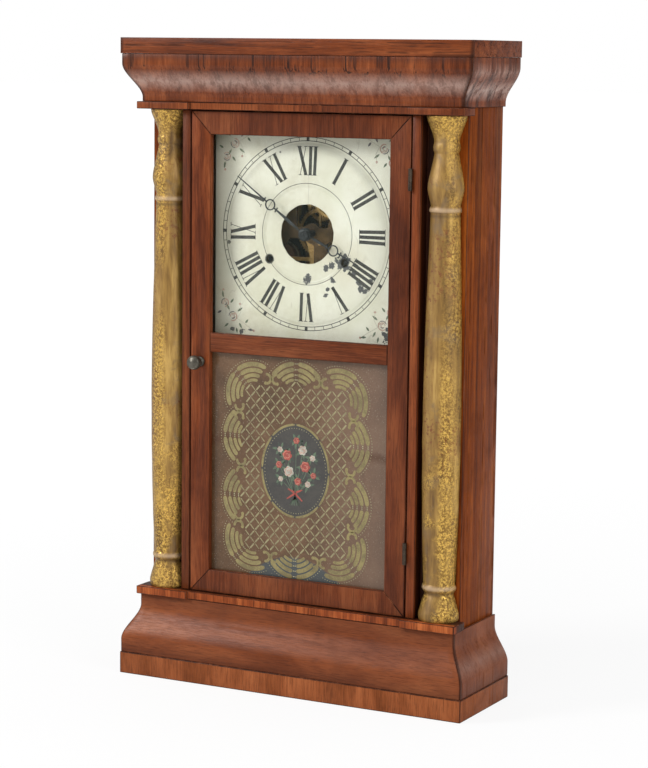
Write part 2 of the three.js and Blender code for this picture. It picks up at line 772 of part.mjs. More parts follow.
// ---- dial
function hole(shape, points) {
  shape.holes.push(new THREE.Path(points.map(([x, y]) => new THREE.Vector2(x, y))))
}
const strikeArbor = [-windingSpread, centreZ - windingDrop]
const timeArbor = [windingSpread, centreZ - windingDrop]
const centre = [0, centreZ]
const dialShape = polygon([
  [-dialSize / 2, centreZ - dialSize / 2], [dialSize / 2, centreZ - dialSize / 2],
  [dialSize / 2, centreZ + dialSize / 2], [-dialSize / 2, centreZ + dialSize / 2]
])
hole(dialShape, ringPoints(0, centreZ, dialHoleRadius, 32))
hole(dialShape, ringPoints(...strikeArbor, windingHoleRadius, 12))
hole(dialShape, ringPoints(...timeArbor, windingHoleRadius, 12))
add('dial_plate', slab(dialShape, dialFace, dialBack), painted)

// ---- gear geometry
// Outline of a wheel with narrow pointed teeth, one of them pointing along phase (degrees).
function toothed(at, teeth, module, phase, addendum = 0.75, tip = 0.05, root = 0.17) {
  const pitch = 360 / teeth
  const outer = module * (teeth / 2 + addendum)
  const inner = module * (teeth / 2 - 1.15)
  const points = []
  for (let i = 0; i < teeth; i++) {
    const middle = phase + i * pitch
    points.push(polar(at, middle - root * pitch, inner))
    if (tip > 0) points.push(polar(at, middle - tip * pitch, outer), polar(at, middle + tip * pitch, outer))
    else points.push(polar(at, middle, outer))
    points.push(polar(at, middle + root * pitch, inner))
  }
  return points
}

// Windows between the spokes of a wheel.
function crossings(shape, at, spokes, hub, rim, spokeWidth, phase = 0) {
  for (let i = 0; i < spokes; i++) {
    const middle = phase + 360 * (i + 0.5) / spokes
    const half = 180 / spokes
    const trim = radius => THREE.MathUtils.radToDeg(Math.asin(spokeWidth / 2 / radius))
    const points = []
    for (const t of [-1, -0.5, 0, 0.5, 1]) points.push(polar(at, middle + t * (half - trim(rim)), rim))
    for (const t of [1, 0, -1]) points.push(polar(at, middle + t * (half - trim(hub)), hub))
    hole(shape, points)
  }
}

function pinion(at, leaves, module, phase, y0, y1) {
  return slab(polygon(toothed(at, leaves, module, phase, 0.45, 0.06, 0.13)), y0, y1)
}

function wheel(at, teeth, module, phase, y, options = {}) {
  const { spokes = 4, rimWidth = 3, hub = 5, spokeWidth = 2.4, bore = 0, tip = 0 } = options
  const shape = polygon(toothed(at, teeth, module, phase, 0.75, tip))
  const rim = module * (teeth / 2 - 1.15) - rimWidth
  if (spokes) crossings(shape, at, spokes, hub, rim, spokeWidth, options.turn ?? 0)
  if (bore) hole(shape, ringPoints(...at, bore, 14))
  return slab(shape, y, y + wheelThickness)
}

function directionOf([xa, za], [xb, zb]) {
  return THREE.MathUtils.radToDeg(Math.atan2(zb - za, xb - xa))
}

// ---- going train
const greatModule = 2 * Math.hypot(windingSpread, windingDrop) / (greatTeeth + greatPinionLeaves)
const thirdArbor = polar(centre, thirdAngle, centreModule * (wheelTeeth + pinionLeaves) / 2)
const escapeArbor = polar(thirdArbor, escapeAngle, thirdModule * (thirdTeeth + pinionLeaves) / 2)
const vergeArbor = [0, centreZ + vergeHeight]
const arborFront = plateFront - pivotReach
const arborBack = backPlateBack

const escapeY = frontPlateBack + escapeBehindPlate
const centreY = escapeY + centreBehindEscape
const thirdY = centreY + thirdBehindCentre
const greatY = thirdY + greatBehindThird
const arbor = at => bar(at, arborRadius, arborFront, arborBack)
const pinionAround = (at, leaves, module, toward, y) => {
  const phase = directionOf(at, toward) + 180 / leaves
  const middle = y + wheelThickness / 2
  return pinion(at, leaves, module, phase, middle - pinionLength / 2, middle + pinionLength / 2)
}

const greatOptions = { rimWidth: 6, hub: 8, spokeWidth: 3.6, bore: windingArborRadius + pivotPlay }
const handFront = minuteHandY - handThickness
add('time_great_wheel', wheel(
  timeArbor, greatTeeth, greatModule, directionOf(timeArbor, centre), greatY, greatOptions
), brass)
// The centre arbor ends inside the minute hand's collet.
const centreBar = bar(centre, centreArborRadius, handFront - colletReach - centreTip, arborBack)
add('centre_wheel', join(
  wheel(centre, wheelTeeth, centreModule, directionOf(centre, thirdArbor), centreY),
  pinionAround(centre, greatPinionLeaves, greatModule, timeArbor, greatY),
  centreBar
), brass)
add('third_wheel', join(
  wheel(thirdArbor, thirdTeeth, thirdModule, directionOf(thirdArbor, escapeArbor), thirdY),
  pinionAround(thirdArbor, pinionLeaves, centreModule, centre, centreY),
  arbor(thirdArbor)
), brass)

// Escape wheel: pointed teeth, one of them on the line to the verge.
const towardVerge = directionOf(escapeArbor, vergeArbor)
function escapeOutline() {
  const pitch = 360 / escapeTeeth
  const points = []
  for (let i = 0; i < escapeTeeth; i++) {
    const middle = towardVerge + i * pitch
    points.push(polar(escapeArbor, middle - 0.3 * pitch, escapeRadius - escapeToothHeight))
    points.push(polar(escapeArbor, middle, escapeRadius))
    points.push(polar(escapeArbor, middle + 0.12 * pitch, escapeRadius - escapeToothHeight))
  }
  return points
}
const escapeShape = polygon(escapeOutline())
const escapeRim = escapeRadius - escapeToothHeight - escapeRimWidth
crossings(escapeShape, escapeArbor, 4, escapeHub, escapeRim, escapeSpoke, 20)
add('escape_wheel', join(
  slab(escapeShape, escapeY, escapeY + escapeThickness),
  pinionAround(escapeArbor, pinionLeaves, thirdModule, thirdArbor, thirdY),
  arbor(escapeArbor)
), brass)

// Verge: a strip anchor over the escape wheel, its arbor, and the crutch behind the back plate.
function verge() {
  const front = escapeY - palletReach
  const rear = escapeY + escapeThickness + palletReach
  const rodFront = pendulumY - rodRadius
  const rodBack = pendulumY + rodRadius
  const rodArbor = bar(vergeArbor, arborRadius, arborFront, rodFront - forkPlay)
  const pieces = [bar(vergeArbor, vergeHubRadius, front, rear, 12), rodArbor]
  const toothPitch = 360 / escapeTeeth
  for (const way of [-1, 1]) {
    const at = towardVerge + way * palletSpan / 2 * toothPitch
    const fromEscape = distance => polar(escapeArbor, at, escapeRadius + palletGap + distance)
    pieces.push(strip(fromEscape(0), fromEscape(palletLength), palletTip, palletRoot, front, rear))
    pieces.push(strip(fromEscape(palletLength * 0.73), vergeArbor, palletRoot, palletLength, front, rear))
  }
  const crutchFront = backPlateBack + crutchGap
  const crutchBack = crutchFront + crutchThickness
  const forkZ = vergeArbor[1] - crutchReach
  const inner = rodRadius + clearance
  const forkHalf = inner + crutchThickness
  pieces.push(strip(vergeArbor, [0, forkZ + forkHeight], armWidth, palletRoot, crutchFront, crutchBack))
  const forkFoot = forkZ - forkHeight / 2
  pieces.push(block([-forkHalf, forkHalf], [crutchFront, crutchBack], [forkFoot, forkZ + forkHeight]))
  for (const span of [[-forkHalf, -inner], [inner, forkHalf]]) {
    pieces.push(block(span, [crutchFront, rodBack + forkPlay], [forkFoot, forkFoot + forkHeight]))
  }
  return join(...pieces)
}
add('verge', verge(), steel)

// ---- pendulum
const pivotZ = centreZ + suspensionHeight
const bobZ = pivotZ - pendulumLength
const bobThrough = bobRadius + gluedLap
function pendulumRod() {
  const ribbonHalf = suspensionRibbon / 2
  const pinHalf = ribbonHalf + suspensionHalf * 2
  const head = bar([0, pivotZ], suspensionHead, pendulumY - pinHalf, pendulumY + pinHalf)
  const ribbon = block(
    [-suspensionHalf, suspensionHalf], [pendulumY - ribbonHalf, pendulumY + ribbonHalf],
    [pivotZ - suspensionLength, pivotZ]
  )
  const rodBottom = bobZ - bobRadius - rodTail
  const rod = board(ringPoints(0, pendulumY, rodRadius, 8), rodBottom, pivotZ - suspensionLength + gluedLap)
  const nutBottom = rodBottom + gluedLap
  const nut = board(ringPoints(0, pendulumY, ratingNutRadius, 10), nutBottom, nutBottom + ratingNutHeight)
  return join(head, ribbon, rod, nut)
}
add('pendulum_rod', pendulumRod(), steel)

// A lens on its side: an arc from one face through the rim to the other.
function pendulumBob() {
  const steps = 4
  const arc = Array.from({ length: steps }, (_, i) => {
    const angle = THREE.MathUtils.degToRad(bobEdge * (i + 1) / steps)
    const radius = bobRadius * Math.sin(angle) / Math.sin(THREE.MathUtils.degToRad(bobEdge))
    return [radius, bobThickness / 2 * Math.cos(angle)]
  })
  const front = arc.map(([radius, y]) => [radius, -y])
  const lens = turned([...front, ...arc.reverse()], 24).rotateX(Math.PI / 2).translate(0, pendulumY, bobZ)
  const bore = board(ringPoints(0, pendulumY, rodRadius + bobBorePlay, 8), bobZ - bobThrough, bobZ + bobThrough)
  return cut(lens, bore)
}
add('pendulum_bob', pendulumBob(), lead)

// ---- winding drums with their arbors, and the strike great wheel
function windingDrum(at, drumFront) {
  const drum = bar(at, drumRadius, drumFront, drumFront + drumLength, 20)
  const flange = bar(at, drumRadius + drumFlange, drumFront, drumFront + drumGap, 20)
  const rod = bar(at, windingArborRadius, arborFront, arborBack, 12)
  const half = windingSquare / 2
  const square = block(
    [at[0] - half, at[0] + half], [dialBack + squareGap, plateFront + gluedLap], [at[1] - half, at[1] + half]
  )
  return join(drum, flange, rod, square)
}
const strikeGreatY = frontPlateBack + strikeBehindPlate
add('time_drum', windingDrum(timeArbor, greatY - drumLength - drumGap), brass)
add('strike_drum', windingDrum(strikeArbor, strikeGreatY + wheelThickness + drumGap), brass)

// ---- strike train
const pinWheelArbor = polar(strikeArbor, pinWheelAngle, greatModule * (greatTeeth + greatPinionLeaves) / 2)
const warningArbor = polar(pinWheelArbor, warningAngle, pinWheelModule * (wheelTeeth + pinionLeaves) / 2)
const flyArbor = polar(warningArbor, flyAngle, warningModule * (warningTeeth + pinionLeaves) / 2)
const pinWheelY = strikeGreatY + pinBehindStrike
const warningY = pinWheelY + warningBehindPin
const flyFront = frontPlateBack + flyGap
add('strike_great_wheel', wheel(
  strikeArbor, greatTeeth, greatModule, directionOf(strikeArbor, pinWheelArbor), strikeGreatY, greatOptions
), brass)
add('pin_wheel', join(
  wheel(pinWheelArbor, wheelTeeth, pinWheelModule, directionOf(pinWheelArbor, warningArbor), pinWheelY),
  pinionAround(pinWheelArbor, greatPinionLeaves, greatModule, strikeArbor, strikeGreatY),
  arbor(pinWheelArbor)
), brass)
const towardFly = directionOf(warningArbor, flyArbor)
add('warning_wheel', join(
  wheel(warningArbor, warningTeeth, warningModule, towardFly, warningY, { spokes: 0 }),
  pinionAround(warningArbor, pinionLeaves, pinWheelModule, pinWheelArbor, pinWheelY),
  arbor(warningArbor)
), brass)
add('fly', join(
  block(
    [flyArbor[0] - flyLength / 2, flyArbor[0] + flyLength / 2],
    [flyFront, flyFront + flyWidth],
    [flyArbor[1] - flyThickness / 2, flyArbor[1] + flyThickness / 2]
  ),
  pinionAround(flyArbor, pinionLeaves, warningModule, warningArbor, warningY),
  arbor(flyArbor)
), brass)

// Count wheel: a disc in front of the front plate with a slot after each hour's run of blows.
const countArbor = [countAt[0] - plateHalf, centreZ + countAt[1]]
function countWheel() {
  const points = []
  const floor = countWheelRadius - countSlotDepth
  let blows = 0
  for (let hour = 1; hour <= 12; hour++) {
    const from = 360 * blows / countBlows + countSlot
    blows += hour
    const to = 360 * blows / countBlows - countSlot
    points.push(polar(countArbor, from, floor))
    const arcSteps = Math.ceil((to - from) / 14)
    for (let i = 0; i <= arcSteps; i++) {
      points.push(polar(countArbor, from + (to - from) * i / arcSteps, countWheelRadius))
    }
    points.push(polar(countArbor, to, floor))
  }
  const discBack = plateFront - countGap
  const discFront = discBack - countThickness
  return join(
    slab(polygon(points), discFront, discBack),
    bar(countArbor, arborRadius, discFront - arborBoss, frontPlateBack + arborBoss)
  )
}
add('count_wheel', countWheel(), brass)

// ---- motion work and hands
const motionCentres = motionModule * (cannonLeaves + minuteWheelTeeth)
const minutePinionModule = motionCentres / (minutePinionLeaves + hourWheelTeeth)
const minuteArbor = polar(centre, minuteWheelAngle, motionCentres / 2)
const cannonBore = centreArborRadius + pipePlay
const cannonRadius = cannonBore + pipeWall
const hourBore = cannonRadius + pipePlay
const hourPipe = hourBore + pipeWall
const hourWheelY = frontPlateBack + motionGap
const minuteWheelY = hourWheelY + motionStep
// A pipe along Y with its bore cut right through whatever it carries.
function pipe(radius, bore, y0, y1, ...carried) {
  const body = join(bar(centre, radius, y0, y1, 14), ...carried)
  return cut(body, bar(centre, bore, y0 - caseDepth, y1 + caseDepth, 14))
}

// Hand outline pieces along a direction: blade, open ring between two short bars, and stem.
function handPieces(degrees, ringAt, reach, y0, y1) {
  const along = distance => polar(centre, degrees, distance)
  const across = (distance, half) => {
    const [x, z] = along(distance)
    return [polar([x, z], degrees - 90, half), polar([x, z], degrees + 90, half)]
  }
  const outer = handRingRadius
  const ringShape = polygon(ringPoints(...along(ringAt), outer, 20))
  hole(ringShape, ringPoints(...along(ringAt), outer - handRingWidth, 20))
  const widest = ringAt * 0.45
  const lap = handRingWidth / 2
  const pieces = [
    bar(centre, handHubRadius, y0, y1, 20),
    strip(along(handHubRadius - lap), along(widest), handNarrow, handBroad, y0, y1),
    strip(along(widest - lap), along(widest + lap), handBroad, handBroad, y0, y1),
    strip(along(widest), along(ringAt - outer + lap), handBroad, handRingWidth, y0, y1),
    slab(ringShape, y0, y1),
    strip(along(ringAt + outer - lap), along(reach), handNarrow, handTip, y0, y1)
  ]
  for (const at of [ringAt - outer - handBarAway, ringAt + outer + handBarAway]) {
    const [a, b] = across(at, handBarAway)
    pieces.push(strip(a, b, handBar, handBar, y0, y1))
  }
  return pieces
}
const hourDegrees = 90 - shownHour * 30
const minuteDegrees = 90 - shownMinute * 6

const cannonBack = minuteWheelY + cannonLength
const cannonPhase = minuteWheelAngle + 180 / cannonLeaves
const cannonPinion = pinion(
  centre, cannonLeaves, motionModule, cannonPhase, minuteWheelY - clearance * 2, cannonBack
)
add('minute_hand', pipe(
  cannonRadius, cannonBore, handFront - colletReach, cannonBack,
  cannonPinion, ...handPieces(minuteDegrees, minuteRingAt, minuteHandReach, handFront, minuteHandY)
), iron)
const hourWheel = wheel(
  centre, hourWheelTeeth, minutePinionModule, minuteWheelAngle, hourWheelY, { spokes: 0, tip: 0.05 }
)
add('hour_hand', pipe(
  hourPipe, hourBore, hourHandY - handThickness, hourWheelY + wheelThickness,
  hourWheel, ...handPieces(hourDegrees, hourRingAt, hourHandReach, hourHandY - handThickness, hourHandY)
), iron)
const towardCentre = directionOf(minuteArbor, centre)
add('minute_wheel', join(
  wheel(minuteArbor, minuteWheelTeeth, motionModule, towardCentre, minuteWheelY, { spokes: 0, tip: 0.05 }),
  pinion(
    minuteArbor, minutePinionLeaves, minutePinionModule, towardCentre + 180 / minutePinionLeaves,
    hourWheelY - clearance / 2, minuteWheelY + clearance
  ),
  bar(minuteArbor, arborRadius, arborFront, minuteWheelY + wheelThickness)
), brass)

// ---- plates
const hammerArbor = [hammerPivot[0], centreZ + hammerPivot[1]]
const trainArbors = [thirdArbor, escapeArbor, vergeArbor, pinWheelArbor, warningArbor, flyArbor, hammerArbor]
const pillarPlaces = [-1, 1].flatMap(side => [
  [side * (plateHalf - pillarInset), centreZ + plateTop - pillarInset],
  [side * (plateHalf - pillarInset), centreZ - plateBottom + pillarInset]
])

// A plate with its windows cut away, straps and bosses left across them, and its holes bored.
function plate(y0, y1, windows, straps, bores) {
  const sheet = block([-plateHalf, plateHalf], [y0, y1], [centreZ - plateBottom, centreZ + plateTop])
  const openings = windows.map(outline => {
    return slab(polygon(outline.map(([x, z]) => [x, centreZ + z])), y0 - gluedLap, y1 + gluedLap)
  })
  const holes = bores.map(([at, radius]) => bar(at, radius, y0 - gluedLap, y1 + gluedLap, 12))
  return cut(join(cut(sheet, ...openings), ...straps), ...holes)
}
const windingBores = [strikeArbor, timeArbor].map(at => [at, windingArborRadius + pivotPlay])
const trainBores = trainArbors.map(at => [at, arborRadius + pivotPlay])

// The front plate has three windows round a boss, a left arm and a strap below.
const bossArc = angles => angles.map(a => polar([0, 0], a, bossRadius))
const windowUpper = [
  ...bossArc([35, 65, 95, 125, 143]), [-17, 6], [-17, 52], [8, 52], [24, 50], [24, 15], [18, 13], [17, 6]
]
const windowLeft = [
  ...bossArc([208, 228, 248, 268]), [2, -12], [2, -60], [-10, -60], [-31, -58], [-31, -36], [-32, -15],
  [-24, -5]
]
const windowRight = [[16.5, -9], [28, -5], [32, -15], [31, -36], [31, -60], [16.5, -60]]
const escapeStrap = [
  bar(escapeArbor, escapeBoss, plateFront, frontPlateBack, 16),
  strip(
    escapeArbor, [escapeArbor[0] + 3 * escapeBoss, escapeArbor[1]], escapeBoss, 1.5 * escapeBoss,
    plateFront, frontPlateBack
  )
]
add('front_plate', plate(plateFront, frontPlateBack, [windowUpper, windowLeft, windowRight], escapeStrap, [
  [centre, hourPipe + pipePlay], ...windingBores, ...trainBores,
  [countArbor, arborRadius + pivotPlay], [minuteArbor, arborRadius + pivotPlay]
]), brass)

const windowBackTop = [[-12, 16], [13, 16], [13, 24], [6, 36], [-6, 36], [-12, 30]]
const windowBackLow = [[-26, -52], [26, -52], [26, -14], [12, -10], [-12, -10], [-26, -14]]
const pillarBack = backPlateFront + plateThickness / 2
const pillars = pillarPlaces.map(at => bar(at, pillarRadius, frontPlateBack + clearance, pillarBack, 8))
// Suspension cock: the pendulum's head lies in its notch and the ribbon hangs through its slot.
const cockHalf = cockWidth / 2
const cockBack = pendulumY + suspensionRibbon / 2 + cockNotchHalf
const slotFront = pendulumY - suspensionRibbon / 2 - suspensionHalf * 2 - clearance
const cockFront = backPlateBack - gluedLap / 2
const cockBody = block([-cockHalf, cockHalf], [cockFront, cockBack], [pivotZ - cockDrop, pivotZ + cockRise])
const cockNotch = block(
  [-cockNotchHalf, cockNotchHalf], [slotFront, cockBack + gluedLap], [pivotZ - cockNotchHalf, pivotZ + cockHalf]
)
const cockSlot = block(
  [-suspensionHead + clearance, suspensionHead - clearance], [slotFront, cockBack + gluedLap],
  [pivotZ - cockDrop - gluedLap, pivotZ - cockNotchHalf + gluedLap]
)
const backFrame = [...pillars, cut(cockBody, cockNotch, cockSlot)]
add('back_plate', plate(backPlateFront, backPlateBack, [windowBackTop, windowBackLow], backFrame, [
  [centre, centreArborRadius + pivotPlay], ...windingBores, ...trainBores
]), brass)

// ---- hammer and gong
const hammerHead = [hammerHeadAt[0], centreZ + hammerHeadAt[1]]
const armDirection = directionOf(hammerArbor, hammerHead)
const blowDirection = armDirection + 90
function hammer() {
  const armFront = backPlateBack + armGap
  const armBack = armFront + armThickness
  const along = distance => polar(hammerHead, blowDirection, distance)
  const head = strip(
    along(-hammerHeadLength / 2), along(hammerHeadLength / 2), 2 * hammerHeadRadius, 2 * hammerHeadRadius,
    gongY - hammerHeadRadius, gongY + hammerHeadRadius
  )
  const tailEnd = polar(hammerArbor, armDirection + 180, tailLength)
  const tailBack = backPlateFront - tailGap
  return join(
    bar(hammerArbor, arborRadius, arborFront, armBack),
    strip(hammerArbor, hammerHead, armWidth, armWidth, armFront, armBack),
    strip(hammerArbor, tailEnd, armWidth, armWidth, tailBack - armThickness, tailBack),
    head
  )
}
add('hammer', hammer(), steel)

const gongCentre = polar(hammerHead, blowDirection, hammerHeadLength / 2 + gongGap + gongOuter + gongWire)
function gong() {
  const steps = Math.round(gongTurns * 24)
  const startAngle = THREE.MathUtils.degToRad(blowDirection + 180)
  class Spiral extends THREE.Curve {
    getPoint(t, target = new THREE.Vector3()) {
      const angle = startAngle + (t - 1) * gongTurns * 2 * Math.PI
      const radius = gongInner + (gongOuter - gongInner) * t
      const [x, z] = gongCentre
      return target.set(x + radius * Math.cos(angle), gongY, z + radius * Math.sin(angle))
    }
    getPointAt(t, target) {
      return this.getPoint(t, target)
    }
  }
  const section = polygon(ringPoints(0, 0, gongWire, 6))
  const coil = new THREE.ExtrudeGeometry(section, { steps, extrudePath: new Spiral(), bevelEnabled: false })
  const gapBetweenTurns = (gongOuter - gongInner) / gongTurns - 2 * gongWire
  console.log('gong: least gap between turns', gapBetweenTurns.toFixed(2), 'mm')
  const postAt = polar(gongCentre, THREE.MathUtils.radToDeg(startAngle) - gongTurns * 360, gongInner)
  const footFront = interiorBack - gongFootThickness
  const post = bar(postAt, gongPostRadius, gongY - gongPostFront, footFront + gluedLap, 10)
  const foot = block(
    [gongCentre[0] - gongFoot / 2, gongCentre[0] + gongFoot / 2], [footFront, interiorBack],
    [gongCentre[1] - gongFoot / 2, gongCentre[1] + gongFoot / 2]
  )
  return join(coil, post, foot)
}
add('coil_gong', gong(), iron)

// ---- pulleys, cords and weights
function pulley(side) {
  const half = pulleyWidth / 2
  const flange = pulleyRadius + pulleyFlange
  const bore = axleRadius + axlePlay
  const groove = cordRadius + clearance
  const profile = [
    [bore, -half], [flange, -half], [flange, -half + flangeEdge], [pulleyRadius, -groove],
    [pulleyRadius, groove], [flange, half - flangeEdge], [flange, half], [bore, half], [bore, -half]
  ]
  const geometry = new THREE.LatheGeometry(profile.map(([r, y]) => new THREE.Vector2(r, y)), 20)
  return facingOut(merged(geometry)).translate(side * pulleyOut, cordY, pulleyZ)
}
add('time_pulley', pulley(1), darkMahogany)
add('strike_pulley', pulley(-1), darkMahogany)

const weightBottom = bottomLift + bottomThickness + weightFloorGap
const weightTop = weightBottom + weightHeight
const hookTop = weightTop + weightHookHeight
function weight(side) {
  const x = side * fallX
  const halfW = weightWidth / 2
  const halfD = weightDepth / 2
  const shortW = halfW - weightChamfer
  const shortD = halfD - weightChamfer
  const outline = [
    [-shortW, -halfD], [shortW, -halfD], [halfW, -shortD], [halfW, shortD],
    [shortW, halfD], [-shortW, halfD], [-halfW, shortD], [-halfW, -shortD]
  ]
  const body = board(outline.map(([u, v]) => [x + u, cordY + v]), weightBottom, weightTop)
  return join(body, board(ringPoints(x, cordY, weightHookRadius, 8), weightTop - gluedLap, hookTop))
}
add('time_weight', weight(1), iron)
add('strike_weight', weight(-1), iron)

// The cord: one turn on the drum, up to the pulley, over it and down to the weight's hook.
function cordRoute(at) {
  const drumWrap = drumRadius + cordRadius + clearance
  const [dx, dz] = [pulleyOut - at[0], pulleyZ - at[1]]
  const distance = Math.hypot(dx, dz)
  const lean = Math.acos((drumWrap + wrapRadius) / distance)
  const leave = Math.atan2(dz, dx) - lean
  const points = []
  const turnSteps = 16
  for (let i = 0; i <= turnSteps; i++) {
    const wound = 1 - i / turnSteps
    const angle = leave - 2 * Math.PI * drumTurn * wound
    points.push([
      at[0] + drumWrap * Math.cos(angle), cordY + cordDrift * wound, at[1] + drumWrap * Math.sin(angle)
    ])
  }
  const arriving = leave + Math.PI
  const overSteps = 9
  for (let i = 0; i <= overSteps; i++) {
    const angle = arriving * (1 - i / overSteps)
    points.push([pulleyOut + wrapRadius * Math.cos(angle), cordY, pulleyZ + wrapRadius * Math.sin(angle)])
  }
  points.push([fallX, cordY, hookTop + clearance])
  return points
}
class StraightSteps extends THREE.Curve {
  constructor(points) {
    super()
    this.points = points.map(p => new THREE.Vector3(...p))
  }
  getPoint(t, target = new THREE.Vector3()) {
    const place = Math.min(t * (this.points.length - 1), this.points.length - 1 - 1e-9)
    const from = Math.floor(place)
    return target.lerpVectors(this.points[from], this.points[from + 1], place - from)
  }
  getPointAt(t, target) {
    return this.getPoint(t, target)
  }
  getTangentAt(t, target) {
    const count = this.points.length - 1
    const at = Math.round(t * count)
    const before = this.points[Math.max(at - 1, 0)]
    const after = this.points[Math.min(at + 1, count)]
    return (target ?? new THREE.Vector3()).subVectors(after, before).normalize()
  }
}
function cord() {
  const route = cordRoute(timeArbor)
  const section = polygon(ringPoints(0, 0, cordRadius, 8))
  return new THREE.ExtrudeGeometry(section, {
    steps: route.length - 1, extrudePath: new StraightSteps(route), bevelEnabled: false
  })
}
add('time_cord', cord(), cordFibre)
add('strike_cord', mirrored(cord()), cordFibre)

export default clock
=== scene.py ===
import json
import random
from math import acos, atan2, cos, degrees, hypot, pi, radians, remainder, sin
import bmesh
import bpy
from mathutils import Matrix, Vector, noise


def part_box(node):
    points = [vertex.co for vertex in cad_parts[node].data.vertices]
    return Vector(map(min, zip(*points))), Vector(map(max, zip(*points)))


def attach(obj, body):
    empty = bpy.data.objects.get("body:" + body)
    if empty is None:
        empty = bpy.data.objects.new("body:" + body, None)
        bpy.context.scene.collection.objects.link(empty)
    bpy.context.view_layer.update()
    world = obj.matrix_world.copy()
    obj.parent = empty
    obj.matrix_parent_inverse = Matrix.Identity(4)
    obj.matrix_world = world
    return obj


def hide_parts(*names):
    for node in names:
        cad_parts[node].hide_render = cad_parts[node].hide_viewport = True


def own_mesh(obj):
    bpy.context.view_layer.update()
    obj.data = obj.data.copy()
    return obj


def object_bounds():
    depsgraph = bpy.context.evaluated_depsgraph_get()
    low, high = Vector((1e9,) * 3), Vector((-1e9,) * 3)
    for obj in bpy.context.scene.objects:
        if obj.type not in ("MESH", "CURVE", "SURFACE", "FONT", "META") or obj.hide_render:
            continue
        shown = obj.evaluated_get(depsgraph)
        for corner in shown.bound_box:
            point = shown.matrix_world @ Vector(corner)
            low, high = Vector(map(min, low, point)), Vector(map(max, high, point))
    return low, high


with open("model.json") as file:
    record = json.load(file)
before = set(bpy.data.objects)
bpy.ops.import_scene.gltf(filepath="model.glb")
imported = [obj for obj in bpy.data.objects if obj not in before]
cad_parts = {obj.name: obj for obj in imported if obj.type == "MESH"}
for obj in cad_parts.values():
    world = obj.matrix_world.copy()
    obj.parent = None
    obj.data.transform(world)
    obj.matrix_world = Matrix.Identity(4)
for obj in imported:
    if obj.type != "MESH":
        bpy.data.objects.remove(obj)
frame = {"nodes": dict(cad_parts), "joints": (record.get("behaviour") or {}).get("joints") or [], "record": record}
cadLow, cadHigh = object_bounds()
mm = 0.001
random.seed(11)
bpy.context.scene.view_settings.view_transform = "Standard"

camera = {
    "place": (1.10235, -2.05815, 0.61873),
    "yaw": 27.93,
    "pitch": 7.74,
    "roll": 0.638,
    "focalPixels": 2411.0,
    "picturePixels": 768,  # the picture's long side
}
lamps = {
    "key": {"place": (-2.5, -2.2, 2.2), "size": 1.1, "power": 92},
    "side": {"place": (2.7, -1.0, 1.3), "size": 1.6, "power": 34},
    "top": {"place": (0.1, -1.4, 2.6), "size": 1.0, "power": 12},
}
studio = {
    "worldStrength": 0.5,
    "floorTone": (250, 249, 248),
    "floorShare": 0.88,  # how much of the seen floor is its own glow
    "floorGlow": (253, 268),  # near and far
    "floorReach": 1.6,  # metres
    "floorHalf": 20,  # metres from its middle to its edge
    "skyTone": (250, 252, 255),
    "aim": (0, 0, 0.34),  # where the lamps point
}


def metres(points):
    return [tuple(value * mm for value in point) for point in points]


def toScene(name, data):
    made = bpy.data.objects.new(name, data)
    bpy.context.scene.collection.objects.link(made)
    return made


def makeCamera():
    yaw, pitch, roll = (radians(camera[k]) for k in ("yaw", "pitch", "roll"))
    ahead = Vector((-sin(yaw) * cos(pitch), cos(yaw) * cos(pitch), -sin(pitch)))
    right = Vector((cos(yaw), sin(yaw), 0))
    upward = right.cross(ahead)
    leanRight = right * cos(roll) + upward * sin(roll)
    leanUp = upward * cos(roll) - right * sin(roll)
    data = bpy.data.cameras.new("studioCamera")
    data.sensor_width = 36
    data.lens = camera["focalPixels"] / camera["picturePixels"] * data.sensor_width
    data.clip_end = 50
    made = toScene("studioCamera", data)
    turn = Matrix((leanRight, leanUp, -ahead)).transposed().to_4x4()
    made.matrix_world = Matrix.Translation(camera["place"]) @ turn
    bpy.context.scene.camera = made


def makeLamps():
    for name, lamp in lamps.items():
        data = bpy.data.lights.new(name + "Lamp", "AREA")
        data.energy = lamp["power"]
        data.size = lamp["size"]
        made = toScene(name + "Lamp", data)
        made.location = lamp["place"]
        made.rotation_mode = "QUATERNION"
        ahead = Vector(studio["aim"]) - Vector(lamp["place"])
        made.rotation_quaternion = ahead.to_track_quat("-Z", "Y")


def tone(red, green, blue):
    # written as the colour looks, 0 to 255
    looks = [c / 255 for c in (red, green, blue)]
    return tuple(c / 12.92 if c < 0.04 else ((c + 0.055) / 1.055) ** 2.4 for c in looks) + (1.0,)


def maths(operation, swapped=False):
    def act(link, other=0.0):
        pair = (other, link) if swapped else (link, other)
        return link.finish.node("ShaderNodeMath", {"operation": operation}, dict(enumerate(pair)))
    return act


class Link:
    # an output socket; arithmetic on it adds Math nodes
    __add__, __radd__ = maths("ADD"), maths("ADD", True)
    __sub__, __rsub__ = maths("SUBTRACT"), maths("SUBTRACT", True)
    __mul__, __rmul__ = maths("MULTIPLY"), maths("MULTIPLY", True)
    __abs__ = maths("ABSOLUTE")

    def __init__(self, finish, socket):
        self.finish = finish
        self.socket = socket

    def above(self, edge, soft):
        # 0 below the edge, 1 above it
        span = {"Value": self, "From Min": edge - soft, "From Max": edge + soft}
        return self.finish.node("ShaderNodeMapRange", None, span)

    def below(self, edge, soft):
        return 1 - self.above(edge, soft)


